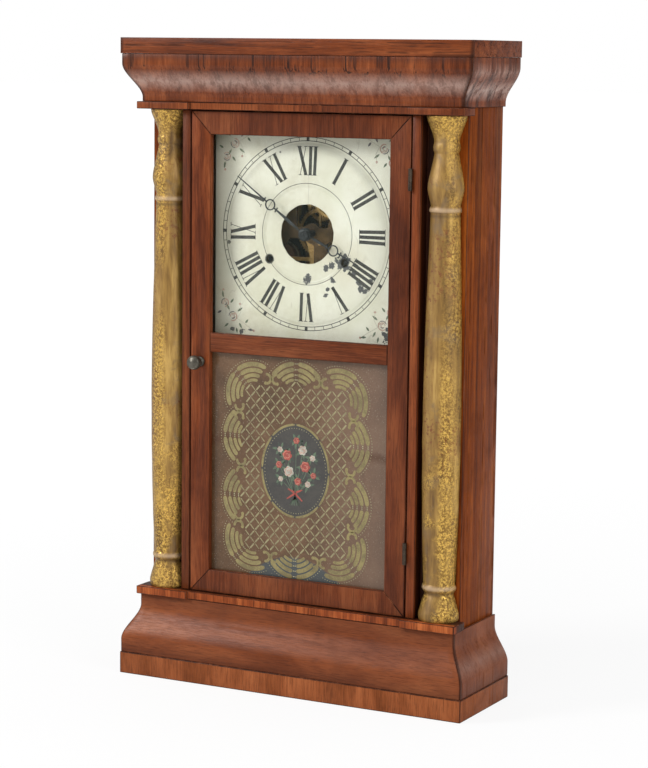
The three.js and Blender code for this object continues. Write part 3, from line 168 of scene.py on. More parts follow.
class Finish:
    def __init__(self, name):
        self.material = bpy.data.materials.new(name)
        self.material.use_nodes = True
        self.tree = self.material.node_tree
        self.shader = self.tree.nodes["Principled BSDF"]
        self.colour = None

    def feed(self, socket, value):
        if isinstance(value, Link):
            self.tree.links.new(value.socket, socket)
        else:
            socket.default_value = value

    def node(self, kind, settings=None, sockets=None, out=0):
        made = self.tree.nodes.new(kind)
        for key, value in (settings or {}).items():
            if key == "stops":
                band = made.color_ramp
                band.elements[0].position, band.elements[0].color = value[0]
                band.elements[1].position, band.elements[1].color = value[-1]
                for place, colour in value[1:-1]:
                    band.elements.new(place).color = colour
            else:
                setattr(made, key, value)
        for key, value in (sockets or {}).items():
            self.feed(made.inputs[key], value)
        return Link(self, made.outputs[out])

    def place(self, stretch=(1, 1, 1), shift=(0, 0, 0)):
        spot = self.node("ShaderNodeTexCoord", out=3)
        return self.node("ShaderNodeMapping", None, {"Vector": spot, "Location": shift, "Scale": stretch})

    def noise(self, where, scale, detail=2.0, rough=0.5, distort=0.0):
        return self.node("ShaderNodeTexNoise", None, {
            "Vector": where, "Scale": scale, "Detail": detail, "Roughness": rough, "Distortion": distort
        })

    def distance(self, where, spot):
        return self.node("ShaderNodeVectorMath", {"operation": "DISTANCE"}, {0: where, 1: spot}, out=1)

    def axis(self, where, index):
        return self.node("ShaderNodeSeparateXYZ", None, {0: where}, out=index)

    def paint(self, value, stops):
        # the first colour, from tones along a value
        stops = [(place, tone(*levels)) for place, levels in stops]
        self.colour = self.node("ShaderNodeValToRGB", {"stops": stops}, {0: value})

    def mix(self, share, first, second):
        return self.node("ShaderNodeMix", {"data_type": "RGBA"}, {0: share, 6: first, 7: second}, out=2)

    def over(self, share, *levels):
        # lays a tone over the colour so far
        self.colour = self.mix(share, self.colour, tone(*levels))

    def bump(self, height, strength, distance):
        sockets = {"Height": height, "Strength": strength, "Distance": distance}
        return self.node("ShaderNodeBump", None, sockets)

    def surface(self, values):
        for key, value in values.items():
            self.feed(self.shader.inputs[key], value)
        return self.material


mahoganyTones = {  # dark, middle, light
    "door": ((76, 32, 12), (115, 56, 27), (144, 79, 43)),
    "rail": ((68, 29, 11), (103, 50, 25), (129, 71, 40)),
    "front": ((72, 31, 12), (112, 54, 25), (144, 78, 42)),
    "base": ((100, 48, 22), (124, 65, 35), (142, 80, 46)),
    # painted shade: a darker copy of the door tones for the right stile, which lies in shade beside the right
    # column
    "doorShaded": ((62, 26, 10), (96, 45, 21), (122, 64, 34)),
    "jambLeft": ((66, 27, 10), (98, 47, 22), (126, 67, 35)),
    "side": ((84, 34, 4), (124, 57, 12), (158, 84, 28)),
    "plinth": ((112, 58, 27), (140, 77, 42), (160, 93, 54)),
    "jamb": ((84, 34, 12), (122, 60, 28), (154, 84, 44)),
    "strip": ((84, 34, 12), (142, 68, 30), (180, 98, 50)),
    "edge": ((40, 18, 8), (70, 34, 17), (122, 70, 44)),
}
woodTones = {
    "pore": (46, 20, 10), "line": (50, 22, 11), "smudge": (58, 28, 16), "crack": (26, 12, 7),
    "bloomAndHighlight": (188, 164, 152), "shade": (52, 22, 11), "joint": (34, 17, 10), "grime": (24, 12, 7),
}
woodLook = {
    "fine": 0.26,  # share of the colour in single fibres
    "figure": 1.0,  # how fine the clouding is
    "streak": 0.4,  # share of the colour that runs in streaks
    "lines": 0.3,  # dark lines along the grain
    "cracks": 0.4,
    "crackFrom": 0.0,  # height below which no crack shows
    "specular": 0.12,
    "seed": 0.0,
    "gloss": 0.36,  # roughness
    "polish": 0.03,  # clear coat
    "haze": [],  # painted highlight bands, partly bloom of the polish: height, half height in metres, strength
    "hazeFine": 0.45,  # how streaky the painted highlight is
    "shade": [],  # darkened bands, given in the same way
    "grime": None,  # painted shade, with some grime: darker where it lies behind this y, in the recesses
    "mitre": False,  # dark joint at the corner
}

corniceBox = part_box("cornice_ogee_front")
mitreLine = corniceBox[1].x + corniceBox[0].y


def veneer(name, tones, grain, **changes):
    look = {**woodLook, **changes}
    wood = Finish(name)
    shift = (look["seed"], look["seed"] * 0.7, look["seed"] * 0.3)
    along = {"x": 0, "y": 1, "z": 2}[grain]
    stretched = lambda share: tuple(share if i == along else 1 for i in range(3))
    fibreSpace = wood.place(stretched(0.04), shift)
    cloudSpace = wood.place(stretched(0.28), shift)
    fibre = wood.noise(fibreSpace, 700, 4, 0.7)
    band = wood.noise(fibreSpace, 130, 4, 0.65, 0.6)
    cloud = wood.noise(cloudSpace, 13 * look["figure"], 4, 0.55, 1.4)
    value = fibre * look["fine"] + band * look["streak"] + cloud * (1 - look["fine"] - look["streak"])
    dark, middle, light = mahoganyTones[tones]
    wood.paint(value, [(0.38, dark), (0.5, middle), (0.62, light)])
    pore = wood.noise(fibreSpace, 1900, 2, 0.5).above(0.58, 0.05)
    wood.over(pore * 0.4, *woodTones["pore"])
    streakLine = wood.noise(wood.place(stretched(0.05), shift), 75, 3, 0.6, 0.3).above(0.6, 0.05)
    wood.over(streakLine * look["lines"], *woodTones["line"])
    smudge = wood.noise(wood.place(shift=shift), 22, 3, 0.6, 0.5).above(0.6, 0.1)
    wood.over(smudge * 0.25, *woodTones["smudge"])
    line = abs(wood.noise(wood.place(stretched(0.006), shift), 85, 3, 0.7) - 0.5)
    run = wood.noise(wood.place(stretched(0.5), shift), 60, 2, 0.5).above(0.48, 0.04)
    crack = line.below(0.014, 0.009) * run * wood.axis(wood.place(), 2).above(look["crackFrom"], 0.003)
    wood.over(crack * look["cracks"], *woodTones["crack"])
    where = wood.place()
    # painted highlight: pale streaky bands by height stand in for the lamps' soft reflection, partly bloom of the
    # polish
    for middleZ, half, strength in look["haze"]:
        near = abs(wood.axis(where, 2) + (band - 0.5) * half * 0.5 - middleZ).below(half * 0.45, half * 0.85)
        streaky = (band * 0.6 + fibre * 0.4).above(0.49, 0.06)
        bloomAndHighlight = near * (1 - look["hazeFine"] + streaky * look["hazeFine"])
        wood.over(bloomAndHighlight * strength, *woodTones["bloomAndHighlight"])
    for middleZ, half, strength in look["shade"]:
        near = abs(wood.axis(where, 2) - middleZ + (cloud - 0.5) * half * 0.6).below(half * 0.5, half * 0.7)
        wood.over(near * strength, *woodTones["shade"])
    if look["mitre"]:
        corner = abs(wood.axis(where, 0)) + wood.axis(where, 1) + (band - 0.5) * 0.003 - mitreLine
        dark = abs(corner).below(0.0026, 0.0014) * wood.axis(where, 1).below(corniceBox[1].y + 0.002, 0.001)
        wood.over(dark * (0.4 + band * 0.6), *woodTones["joint"])
    # painted shade: faces set back behind the given depth, in the recesses beside the door and the columns, are
    # darkened, with some grime
    if look["grime"] is not None:
        wood.over(wood.axis(where, 1).above(look["grime"], 0.0012) * 0.82, *woodTones["grime"])
    height = fibre * 0.3 - pore * 0.3 - crack * look["cracks"] * 1.2
    return wood.surface({
        "Base Color": wood.colour,
        "Roughness": (band - 0.5) * 0.16 + look["gloss"] + crack * 0.3 + smudge * 0.1,
        "Specular IOR Level": look["specular"],
        "Coat Weight": look["polish"],
        "Coat Roughness": 0.22,
        "Normal": wood.bump(height, 0.3, 0.0005),
    })


def bareWood(name, tones, grain, ironBefore=None):
    wood = Finish(name)
    stretch = {"x": (0.05, 1, 1), "y": (1, 0.05, 1), "z": (1, 1, 0.05)}[grain]
    fibre = wood.noise(wood.place(stretch), 420, 4, 0.6)
    ring = wood.noise(wood.place(stretch), 40, 3, 0.5, 1.0)
    dust = wood.noise(wood.place(), 18, 3, 0.6)
    wood.paint(fibre * 0.4 + ring * 0.6, [(0.36, tones[0]), (0.64, tones[1])])
    wood.over(dust.above(0.55, 0.15) * 0.4, 82, 58, 38)
    if ironBefore is not None:
        wood.over(wood.axis(wood.place(), 1).below(ironBefore, 0.0002), 22, 22, 21)
    return wood.surface({
        "Base Color": wood.colour,
        "Roughness": dust * 0.2 + 0.6,
        "Normal": wood.bump(fibre, 0.4, 0.0005),
    })


giltLook = {  # heights in metres
    "vase": (0.455, 0.545), "bole": (0.2, 0.43), "foot": 0.235, "capital": 0.548, "rings": (0.4785, 0.1213),
}


def gilding(name, centreX, seed, brightFrom, brightTo):
    gold = Finish(name)
    shift = (seed, seed * 0.6, seed * 0.2)
    where = gold.place(shift=shift)
    spot = gold.place(shift=(-centreX, 0, 0))
    across, height = gold.axis(spot, 0), gold.axis(spot, 2)
    patch = gold.noise(gold.place((1, 1, 0.35), shift), 30, 4, 0.6, 0.5)
    streak = gold.noise(gold.place((1, 1, 0.12), shift), 190, 3, 0.65)
    gold.paint(patch * 0.55 + streak * 0.45, [
        (0.38, (98, 70, 30)), (0.47, (134, 100, 45)), (0.55, (160, 124, 60)), (0.64, (194, 156, 84)),
    ])
    # grey wear on the vase, the head of the shaft and here and there lower
    worn = gold.noise(where, 44, 3, 0.6, 0.6)
    high = height.above(giltLook["vase"][0], 0.012) * height.below(giltLook["vase"][1], 0.01)
    wear = (worn + high * 0.09).above(0.62, 0.06)
    gold.over(wear * 0.6, 120, 100, 74)
    bole = gold.noise(where, 260, 4, 0.8).above(0.56, 0.03)
    low, high = giltLook["bole"]
    boleZone = across.below(-0.006, 0.005) * height.below(high, 0.05) * height.above(low, 0.08)
    boleZone = gold.noise(where, 24, 3).above(0.58, 0.04) * 0.8 + boleZone
    gold.over(bole * boleZone * 0.85, 116, 54, 26)
    strip = across.above(brightFrom, 0.003) * across.below(brightTo, 0.003)
    edgeZone = strip * gold.noise(gold.place((1, 1, 0.3), shift), 20, 2).above(0.46, 0.06)
    lowZone = height.below(giltLook["foot"], 0.02) * gold.noise(where, 40, 2).above(0.5, 0.08)
    topZone = height.above(giltLook["capital"], 0.006)
    zone = gold.node("ShaderNodeClamp", None, {0: edgeZone + lowZone + topZone})
    crackle = abs(gold.noise(gold.place((1, 1, 0.7), shift), 300, 3, 0.7, 0.4) - 0.5).below(0.018, 0.02)
    fleck = gold.noise(where, 430, 4, 0.8).above(0.505, 0.03)
    gold.over(zone * fleck * 0.85, 230, 186, 90)
    gold.over(zone * crackle * 0.6, 96, 62, 26)
    # painted shade: darker brown streaks along the left side of the shaft
    leftShade = across.below(-0.0035, 0.010) * (streak * 1.6 - 0.1)
    gold.over(leftShade * 0.62, 88, 62, 26)
    # painted highlight along each ring, and painted shade in the neck just under it
    for ringZ in giltLook["rings"]:
        ring = abs(height - ringZ).below(0.0018, 0.0012)
        gold.over(ring * 0.5, 206, 178, 146)
        under = abs(height - ringZ + 0.0055).below(0.0012, 0.0014)
        gold.over(under * 0.6, 74, 52, 30)
    relief = patch * 0.5 + zone * (fleck * 0.4 - crackle * 0.6) - bole * boleZone * 0.3
    return gold.surface({
        "Base Color": gold.colour,
        "Metallic": 0.25 + zone * 0.35,
        "Roughness": 0.46 - zone * 0.12 + wear * 0.12,
        "Normal": gold.bump(relief, 0.5, 0.0006),
    })


def metal(name, base, worn, roughness, metallic=0.9, spots=40):
    skin = Finish(name)
    where = skin.place()
    cloud = skin.noise(where, spots, 4, 0.6, 0.4)
    speck = skin.noise(where, spots * 14, 2, 0.6)
    skin.paint(cloud * 0.7 + speck * 0.3, [(0.38, worn), (0.62, base)])
    return skin.surface({
        "Base Color": skin.colour,
        "Metallic": metallic,
        "Roughness": roughness + (cloud - 0.5) * 0.3,
        "Normal": skin.bump(speck, 0.25, 0.0002),
    })


def flatPaint(name, base, worn, gloss=0.45, coat=0.0, metallic=0.0, spots=60):
    paint = Finish(name)
    where = paint.place()
    cloud = paint.noise(where, spots, 4, 0.65, 0.3)
    grit = paint.noise(where, spots * 12, 3, 0.7)
    paint.paint(cloud * 0.55 + grit * 0.45, [(0.4, worn), (0.58, base)])
    return paint.surface({
        "Base Color": paint.colour,
        "Roughness": gloss + (grit - 0.5) * 0.2,
        "Metallic": metallic,
        "Coat Weight": coat,
        "Coat Roughness": 0.04,
        "Normal": paint.bump(grit, 0.12, 0.0002),
    })


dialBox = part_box("dial_plate")
dialCentre = Vector((0, dialBox[0].y, (dialBox[0].z + dialBox[1].z) / 2))
windingSpot = Vector((0.041, 0, -0.0256))  # from the dial centre

dialLook = {
    "flakes": [  # x, z and reach in millimetres from the centre
        (41, -26, 14), (27, -29, 7), (21, -31, 6), (1, -43, 7), (29, -43, 4.5), (60, -50, 6), (70, -42, 4),
        (52, -35, 5), (57, -43, 5), (64, -52, 5), (22, -58, 4), (24, -52, 3), (88, -93, 10), (-72, -98, 5),
        (-82, -97, 4), (-87, -12, 4), (98, -100, 8), (-30, 78, 2), (4, -71, 2), (96, 60, 2.5),
    ],
    "stains": [(41, -26, 30), (-41, -26, 17), (0, 0, 38), (86, -88, 20), (-90, -60, 16)],
    "holeGrime": 4.9,
    "steps": (84.5, 47.0),  # radii of the raised ring's edges
}


def dialPaint():
    paint = Finish("dialPaint")
    where = paint.place(shift=(0, 0, -dialCentre.z))
    cloud = paint.noise(where, 24, 4, 0.6, 0.5)
    mottle = paint.noise(where, 260, 3, 0.6)
    paint.paint(cloud * 0.7 + mottle * 0.3, [
        (0.3, (212, 209, 184)), (0.5, (229, 229, 208)), (0.7, (237, 238, 219))
    ])
    across, height = paint.axis(where, 0), paint.axis(where, 2)
    # painted light: the right part of the dial is made lighter, where the lamps light it more
    paint.over(across.above(0.05, 0.07) * 0.5, 247, 248, 232)
    tint = paint.noise(where, 11, 3, 0.6, 0.5).above(0.52, 0.1)
    paint.over(tint * 0.4, 206, 206, 172)
    awayFrom = lambda x, z: paint.distance(where, (x * mm, dialCentre.y, z * mm))
    stain = 0.0
    for x, z, reach in dialLook["stains"]:
        near = awayFrom(x, z)
        stain = near.below(reach * mm * 0.75, reach * mm * 0.35) * cloud.above(0.44, 0.12) + stain
    paint.over(stain * 0.3, 206, 192, 160)
    rough = paint.noise(where, 210, 4, 0.7)
    bare = 0.0
    for x, z, reach in dialLook["flakes"]:
        bare = (rough * reach * mm * 2.0 - awayFrom(x, z) - reach * mm * 0.42).above(0.0, 0.00035) + bare
    bare = bare.above(0.5, 0.3)
    hair = abs(paint.noise(paint.place((1, 1, 0.25)), 34, 2, 0.5, 0.3) - 0.5).below(0.0016, 0.0012)
    paint.over(hair * 0.3 * cloud.above(0.5, 0.08), 150, 140, 112)
    paint.over(bare, 84, 86, 84)
    for side in (-1, 1):
        near = paint.distance(where, (side * windingSpot.x, dialCentre.y, windingSpot.z))
        grime = (near + (rough - 0.5) * 0.002).below(dialLook["holeGrime"] * mm, 0.0004)
        paint.over(grime * 0.9, 44, 44, 42)
    # painted shadow: the left and top edges darker, where the door frame shades them; painted shade along the
    # steps of the raised ring
    edge = across.below(-0.084, 0.018) * 0.5 + height.above(0.088, 0.014) * 0.4
    paint.over(edge, 132, 128, 104)
    away = awayFrom(0, 0)
    upper = (across * 0.2 + height).above(0.038, 0.034)
    lower = (across * 0.2 + height).below(-0.01, 0.05)
    outer, inner = (radius * mm for radius in dialLook["steps"])
    step = abs(away - outer).below(0.0012, 0.0052) * (0.05 + upper * 0.42)
    step = abs(away - inner).below(0.0006, 0.0022) * (0.06 + lower * 0.22) + step
    paint.over(step, 112, 112, 96)
    split = abs(across - 0.001 + (cloud - 0.5) * 0.003).below(0.00012, 0.00018) * height.above(0.028, 0.002)
    paint.over(split * height.below(0.062, 0.004) * 0.6, 120, 112, 92)
    return paint.surface({
        "Base Color": paint.colour,
        "Roughness": 0.42 + (mottle - 0.5) * 0.2 + bare * 0.15,
        "Normal": paint.bump(mottle * 0.3 - bare, 0.2, 0.0003),
    })


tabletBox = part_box("door_tablet_lower")
tabletFace = tabletBox[0].y
tabletCentre = Vector((-0.0036, tabletFace, 0.219))


def tabletGround():
    paint = Finish("tabletGround")
    where = paint.place(shift=(-tabletCentre.x, 0, -tabletCentre.z))
    cloud = paint.noise(where, 14, 4, 0.6, 0.8)
    grit = paint.noise(where, 520, 3, 0.7)
    paint.paint(cloud * 0.75 + grit * 0.25, [
        (0.34, (72, 52, 31)), (0.5, (96, 70, 47)), (0.66, (114, 88, 64))
    ])
    across = paint.axis(where, 0)
    height = paint.axis(where, 2)
    paint.over(across.above(0.05, 0.05) * 0.35, 122, 104, 94)
    stain = abs(height - 0.022 + (cloud - 0.5) * 0.03).below(0.004, 0.003) * abs(across).above(0.05, 0.02)
    paint.over(stain * 0.65, 74, 44, 22)
    mound = height + 0.094 + across * across * 8.0 + (cloud - 0.5) * 0.008
    paint.over(mound.below(0.008, 0.0012), 66, 70, 70)
    speck = paint.noise(where, 900, 2, 0.5).above(0.68, 0.02)
    paint.over(speck * 0.5, 150, 140, 124)
    return paint.surface({
        "Base Color": paint.colour,
        "Roughness": 0.5,
        "Specular IOR Level": 0.2,
        "Coat Weight": 0.35,
        "Coat Roughness": 0.05,
        "Normal": paint.bump(cloud, 0.08, 0.0008),
    })


def clearGlass():
    glass = Finish("clearGlass")
    wave = glass.noise(glass.place(), 9, 2, 0.5)
    return glass.surface({
        "Base Color": tone(96, 106, 100),
        "Roughness": 0.03,
        "Alpha": 0.05,
        "Specular IOR Level": 0.3,
        "Normal": glass.bump(wave, 0.05, 0.002),
    })


def twistedCord():
    fibre = Finish("linenCord")
    where = fibre.place()
    hair = fibre.noise(where, 1500, 3, 0.7)
    fibre.paint(hair, [(0.35, (104, 90, 66)), (0.65, (158, 142, 110))])
    relief = fibre.bump(hair, 0.5, 0.0003)
    return fibre.surface({"Base Color": fibre.colour, "Roughness": 0.9, "Normal": relief})


columnSpots = {side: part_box(f"half_column_{side}") for side in ("left", "right")}
columnMiddle = {side: (box[0].x + box[1].x) / 2 for side, box in columnSpots.items()}
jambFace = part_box("front_stile_left")[0].y
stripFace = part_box("column_shelf")[0].y
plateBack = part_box("front_plate")[1].y
finishes = {
    "cornice": veneer(
        "corniceVeneer", "front", "z", figure=1.1, streak=0.34, cracks=0.9, crackFrom=0.6, gloss=0.3,
        polish=0.12, haze=[(0.5935, 0.0085, 0.78)], shade=[(0.617, 0.004, 0.5), (0.6035, 0.004, 0.2)],
        mitre=True,
    ),
    "return": veneer(
        "returnVeneer", "front", "z", seed=6.4, gloss=0.3, polish=0.06, lines=0.7, streak=0.5,
        haze=[(0.606, 0.007, 0.5), (0.589, 0.008, 0.95)], hazeFine=0.9, mitre=True,
    ),
    "base": veneer(
        "baseVeneer", "base", "x", fine=0.13, figure=1.2, streak=0.12, lines=0.0, cracks=0.0, seed=3.1,
        gloss=0.33, polish=0.05, shade=[(0.078, 0.011, 0.34), (0.024, 0.009, 0.4)], mitre=True,
    ),
    "baseReturn": veneer(
        "baseReturnVeneer", "base", "z", streak=0.2, lines=0.1, cracks=0.2, seed=1.4,
        gloss=0.36, polish=0.04, haze=[(0.048, 0.008, 0.3)], shade=[(0.024, 0.009, 0.4)], mitre=True,
    ),
    "top": veneer("topBoardVeneer", "front", "x", seed=1.7, figure=1.3, cracks=0.6, lines=0.3, mitre=True),
    "plinth": veneer(
        "plinthVeneer", "plinth", "z", figure=1.5, streak=0.16, lines=0.05, cracks=0.0, seed=8.2,
        specular=0.08
    ),
    "side": veneer(
        "sideVeneer", "side", "z", figure=0.8, streak=0.45, lines=0.5, specular=0.05, polish=0.0, seed=2.3
    ),
    "stile": veneer(
        "doorStileVeneer", "door", "z", figure=1.5, streak=0.16, lines=0.08, cracks=0.1, seed=4.4
    ),
    # painted shade: the right stile gets the darker, shaded copy of the door veneer
    "stileRightShaded": veneer(
        "rightStileShadedVeneer", "doorShaded", "z", figure=1.5, streak=0.16, lines=0.08, cracks=0.1, seed=14.2
    ),
    "jambLeft": veneer(
        "leftJambVeneer", "jambLeft", "z", cracks=0.1, seed=15.8, grime=jambFace + 0.0022
    ),
    "rail": veneer("doorRailVeneer", "rail", "z", streak=0.26, lines=0.2, cracks=0.2, seed=5.2),
    "railMiddle": veneer("middleRailVeneer", "rail", "x", streak=0.3, lines=0.2, cracks=0.2, seed=5.9),
    "jamb": veneer("jambVeneer", "jamb", "z", cracks=0.1, seed=7.7, grime=jambFace + 0.0022),
    "shelf": veneer(
        "shelfVeneer", "strip", "z", figure=1.6, seed=9.1, gloss=0.42, grime=stripFace + 0.0058
    ),
    "capital": veneer("capitalVeneer", "front", "z", figure=1.2, streak=0.3, seed=10.3, gloss=0.4),
    "edge": veneer("wornEdge", "edge", "z", figure=3.0, cracks=0.0, seed=12.9, gloss=0.5),
    "pine": bareWood("agedPine", ((122, 84, 48), (176, 132, 82)), "z"),
    "pineAcross": bareWood("agedPineAcross", ((112, 78, 46), (164, 124, 78)), "x"),
    "turned": bareWood("turnedMaple", ((98, 64, 38), (140, 98, 60)), "y"),
    "drum": bareWood("drumMaple", ((98, 64, 38), (140, 98, 60)), "y", plateBack),
    "giltLeft": gilding("giltLeft", columnMiddle["left"], 0.0, -0.0125, 0.0035),
    "giltRight": gilding("giltRight", columnMiddle["right"], 5.3, 0.0065, 0.05),
    "brass": metal("dullBrass", (226, 188, 112), (150, 118, 68), 0.4, 0.35),
    # painted shade: the plates get darker copies of the brass, standing in for the shade inside the case; the back
    # plate's is darker still
    "plateBrass": metal("plateBrass", (104, 80, 44), (36, 29, 21), 0.45, 0.6, 46),
    "plateDark": metal("plateDark", (78, 61, 38), (32, 26, 19), 0.5, 0.5, 46),
    "steel": metal("agedSteel", (112, 108, 100), (64, 58, 52), 0.42),
    "hingeSteel": metal("hingeSteel", (84, 74, 62), (44, 34, 28), 0.5, 0.8, 90),
    "iron": metal("blackIron", (52, 52, 52), (30, 29, 28), 0.5, 0.6, 70),
    "handIron": metal("handIron", (66, 70, 70), (40, 42, 42), 0.4, 0.5, 70),
    "castIron": metal("castIron", (70, 64, 58), (40, 34, 30), 0.62, 0.6, 50),
    "pewter": metal("knobMetal", (92, 88, 78), (58, 54, 46), 0.36, 0.65, 60),
    "dial": dialPaint(),
    "ink": flatPaint("dialInk", (48, 48, 42), (74, 75, 68), 0.6),
    "pink": flatPaint("rosePink", (172, 136, 120), (206, 190, 168), 0.6, spots=200),
    "leaf": flatPaint("leafGreen", (78, 94, 72), (124, 134, 108), 0.6),
    "slate": flatPaint("slateBlue", (84, 82, 84), (126, 120, 114), 0.6),
    "stem": flatPaint("stemBrown", (140, 136, 110), (180, 178, 156), 0.5),
    "tablet": tabletGround(),
    "gold": flatPaint("stencilGold", (138, 125, 74), (104, 92, 52), 0.42, 0.5, 0.15, 80),
    "goldLight": flatPaint("stencilLight", (156, 150, 112), (118, 110, 74), 0.42, 0.5, 0.1, 120),
    "trellis": flatPaint("stencilTrellis", (146, 138, 98), (108, 98, 66), 0.42, 0.5, 0.1, 120),
    "oval": flatPaint("medallionGround", (52, 48, 40), (34, 31, 27), 0.4, 0.5),
    "white": flatPaint("petalWhite", (188, 184, 168), (140, 134, 120), 0.4, 0.5, 0.0, 160),
    "red": flatPaint("petalRed", (166, 62, 46), (116, 46, 36), 0.4, 0.5, 0.0, 160),
    "blush": flatPaint("petalLine", (196, 128, 104), (150, 104, 86), 0.4, 0.5, 0.0, 160),
    "green": flatPaint("posyGreen", (84, 106, 78), (58, 72, 52), 0.4, 0.5, 0.0, 160),
    "greenDark": flatPaint("posyShade", (48, 62, 46), (36, 44, 34), 0.4, 0.5, 0.0, 160),
    "glass": clearGlass(),
    "cord": twistedCord(),
}
print("finishes made:", len(finishes))


def newPiece(name, shape, materials):
    mesh = bpy.data.meshes.new(name)
    shape.to_mesh(mesh)
    shape.free()
    made = toScene(name, mesh)
    for material in materials:
        mesh.materials.append(material)
    return made


def settle(piece):
    # turns what the modifiers make into the plain mesh
    graph = bpy.context.evaluated_depsgraph_get()
    plain = bpy.data.meshes.new_from_object(piece.evaluated_get(graph))
    piece.modifiers.clear()
    piece.data = plain
    return piece


def smooth(piece, angle=32):
    for face in piece.data.polygons:
        face.use_smooth = True
    piece.data.set_sharp_from_angle(angle=radians(angle))
    return piece


def soften(piece, width, edgeMaterial=True, angle=32):
    bevel = piece.modifiers.new("soften", "BEVEL")
    bevel.width = width
    bevel.segments = 2
    bevel.limit_method = "ANGLE"
    bevel.angle_limit = radians(angle)
    if edgeMaterial:
        bevel.material = 1
    return smooth(settle(piece))


def faceOut(shape):
    bmesh.ops.recalc_face_normals(shape, faces=shape.faces)
    return shape


def bridge(shape, rings):
    for first, second in zip(rings, rings[1:]):
        for i in range(len(first)):
            j = (i + 1) % len(first)
            shape.faces.new((first[i], first[j], second[j], second[i]))


def closedTube(shape, rings):
    bridge(shape, rings)
    shape.faces.new(list(reversed(rings[0])))
    shape.faces.new(rings[-1])


def cutAway(shape, spot, way, fill=True):
    everything = shape.verts[:] + shape.edges[:] + shape.faces[:]
    bmesh.ops.bisect_plane(shape, geom=everything, plane_co=spot, plane_no=way, clear_outer=True)
    if fill:
        bmesh.ops.holes_fill(shape, edges=[edge for edge in shape.edges if edge.is_boundary], sides=0)


def ofNode(node, name, materials, shape=None):
    # a merged copy of a CAD node's mesh, ready for its edges to be softened
    copy = bmesh.new()
    copy.from_mesh(frame["nodes"][node].data)
    bmesh.ops.remove_doubles(copy, verts=copy.verts, dist=2e-6)
    bmesh.ops.dissolve_limit(copy, angle_limit=radians(0.5), verts=copy.verts, edges=copy.edges)
    if shape:
        shape(copy)
    return newPiece(name, faceOut(copy), materials)


def bodyOf(node):
    return next(body for body, nodes in frame["record"]["behaviour"]["bodies"].items() if node in nodes)


def jointOf(name):
    return next(joint for joint in frame["joints"] if joint["name"] == name)


def stand(piece, slotName, *nodes, body=None):
    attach(piece, body or bodyOf(nodes[0]))
    if nodes:
        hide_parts(*nodes)
    return piece


def revolve(profile, axisPoint, axis, segments):
    # profile is (radius, height) in metres along the axis
    shape = bmesh.new()
    rings = []
    for radius, height in profile:
        ring = []
        for i in range(segments):
            angle = 2 * pi * i / segments
            a, b = radius * cos(angle), radius * sin(angle)
            local = {"z": (a, b, height), "y": (a, height, -b)}[axis]
            ring.append(shape.verts.new(Vector(axisPoint) + Vector(local)))
        rings.append(ring)
    closedTube(shape, rings)
    bmesh.ops.remove_doubles(shape, verts=shape.verts, dist=1e-7)
    return faceOut(shape)


def through(points, steps):
    # a smooth line through control points
    line = []
    for i in range(len(points) - 1):
        p0, p1 = points[max(i - 1, 0)], points[i]
        p2, p3 = points[i + 1], points[min(i + 2, len(points) - 1)]
        for step in range(steps):
            t = step / steps
            line.append(tuple(
                0.5 * (2 * b + (c - a) * t + (2 * a - 5 * b + 4 * c - d) * t * t
                       + (3 * b - a - 3 * c + d) * t ** 3)
                for a, b, c, d in zip(p0, p1, p2, p3)
            ))
    line.append(tuple(points[-1]))
    return line


def stampTree():
    # a stamp set on points, turned and sized by the attributes turn and reach
    tree = bpy.data.node_groups.new("stampOnPoints", "GeometryNodeTree")
    inputs = {"Points": "Geometry", "Stamp": "Object", "Finish": "Material", "Size": "Float"}
    for name, kind in inputs.items():
        tree.interface.new_socket(name, in_out="INPUT", socket_type=f"NodeSocket{kind}")
    tree.interface.new_socket("Result", in_out="OUTPUT", socket_type="NodeSocketGeometry")

    def add(kind, **settings):
        made = tree.nodes.new(kind)
        for key, value in settings.items():
            setattr(made, key, value)
        return made

    def attribute(name, kind):
        made = add("GeometryNodeInputNamedAttribute", data_type=kind)
        made.inputs["Name"].default_value = name
        return made

    given, result = add("NodeGroupInput"), add("NodeGroupOutput")
    stamp, points = add("GeometryNodeObjectInfo"), add("GeometryNodeMeshToPoints")
    turn, reach = attribute("turn", "FLOAT"), attribute("reach", "FLOAT_VECTOR")
    euler, sized = add("ShaderNodeCombineXYZ"), add("ShaderNodeVectorMath", operation="SCALE")
    place, realize = add("GeometryNodeInstanceOnPoints"), add("GeometryNodeRealizeInstances")
    colour = add("GeometryNodeSetMaterial")
    wires = [
        (given, "Points", points, "Mesh"), (given, "Stamp", stamp, "Object"),
        (points, "Points", place, "Points"), (stamp, "Geometry", place, "Instance"),
        (turn, "Attribute", euler, "Y"), (euler, "Vector", place, "Rotation"),
        (reach, "Attribute", sized, 0), (given, "Size", sized, "Scale"), (sized, "Vector", place, "Scale"),
        (place, "Instances", realize, "Geometry"), (realize, "Geometry", colour, "Geometry"),
        (given, "Finish", colour, "Material"), (colour, "Geometry", result, "Result"),
    ]
    for start, out, end, into in wires:
        tree.links.new(start.outputs[out], end.inputs[into])
    return tree


stampGroup = stampTree()
stampSockets = {item.name: item.identifier for item in stampGroup.interface.items_tree}


def makeStamp(name, outline, depth, dome=0.0):
    # a small relief facing the front, one unit across, its back at y 0
    shape = bmesh.new()
    back = [shape.verts.new((x, 0, z)) for x, z in outline]
    front = [shape.verts.new((x * 0.8, -depth, z * 0.8)) for x, z in outline]
    top = shape.verts.new((0, -depth - dome, 0))
    for i in range(len(outline)):
        j = (i + 1) % len(outline)
        shape.faces.new((back[i], back[j], front[j], front[i]))
        shape.faces.new((front[i], front[j], top))
    shape.faces.new(list(reversed(back)))
    made = newPiece(name, faceOut(shape), [])
    made.hide_render = True
    return made


def onCircle(centre, angle, across, up=None):
    up = across if up is None else up
    return (centre[0] + across * cos(angle), centre[1] + up * sin(angle))


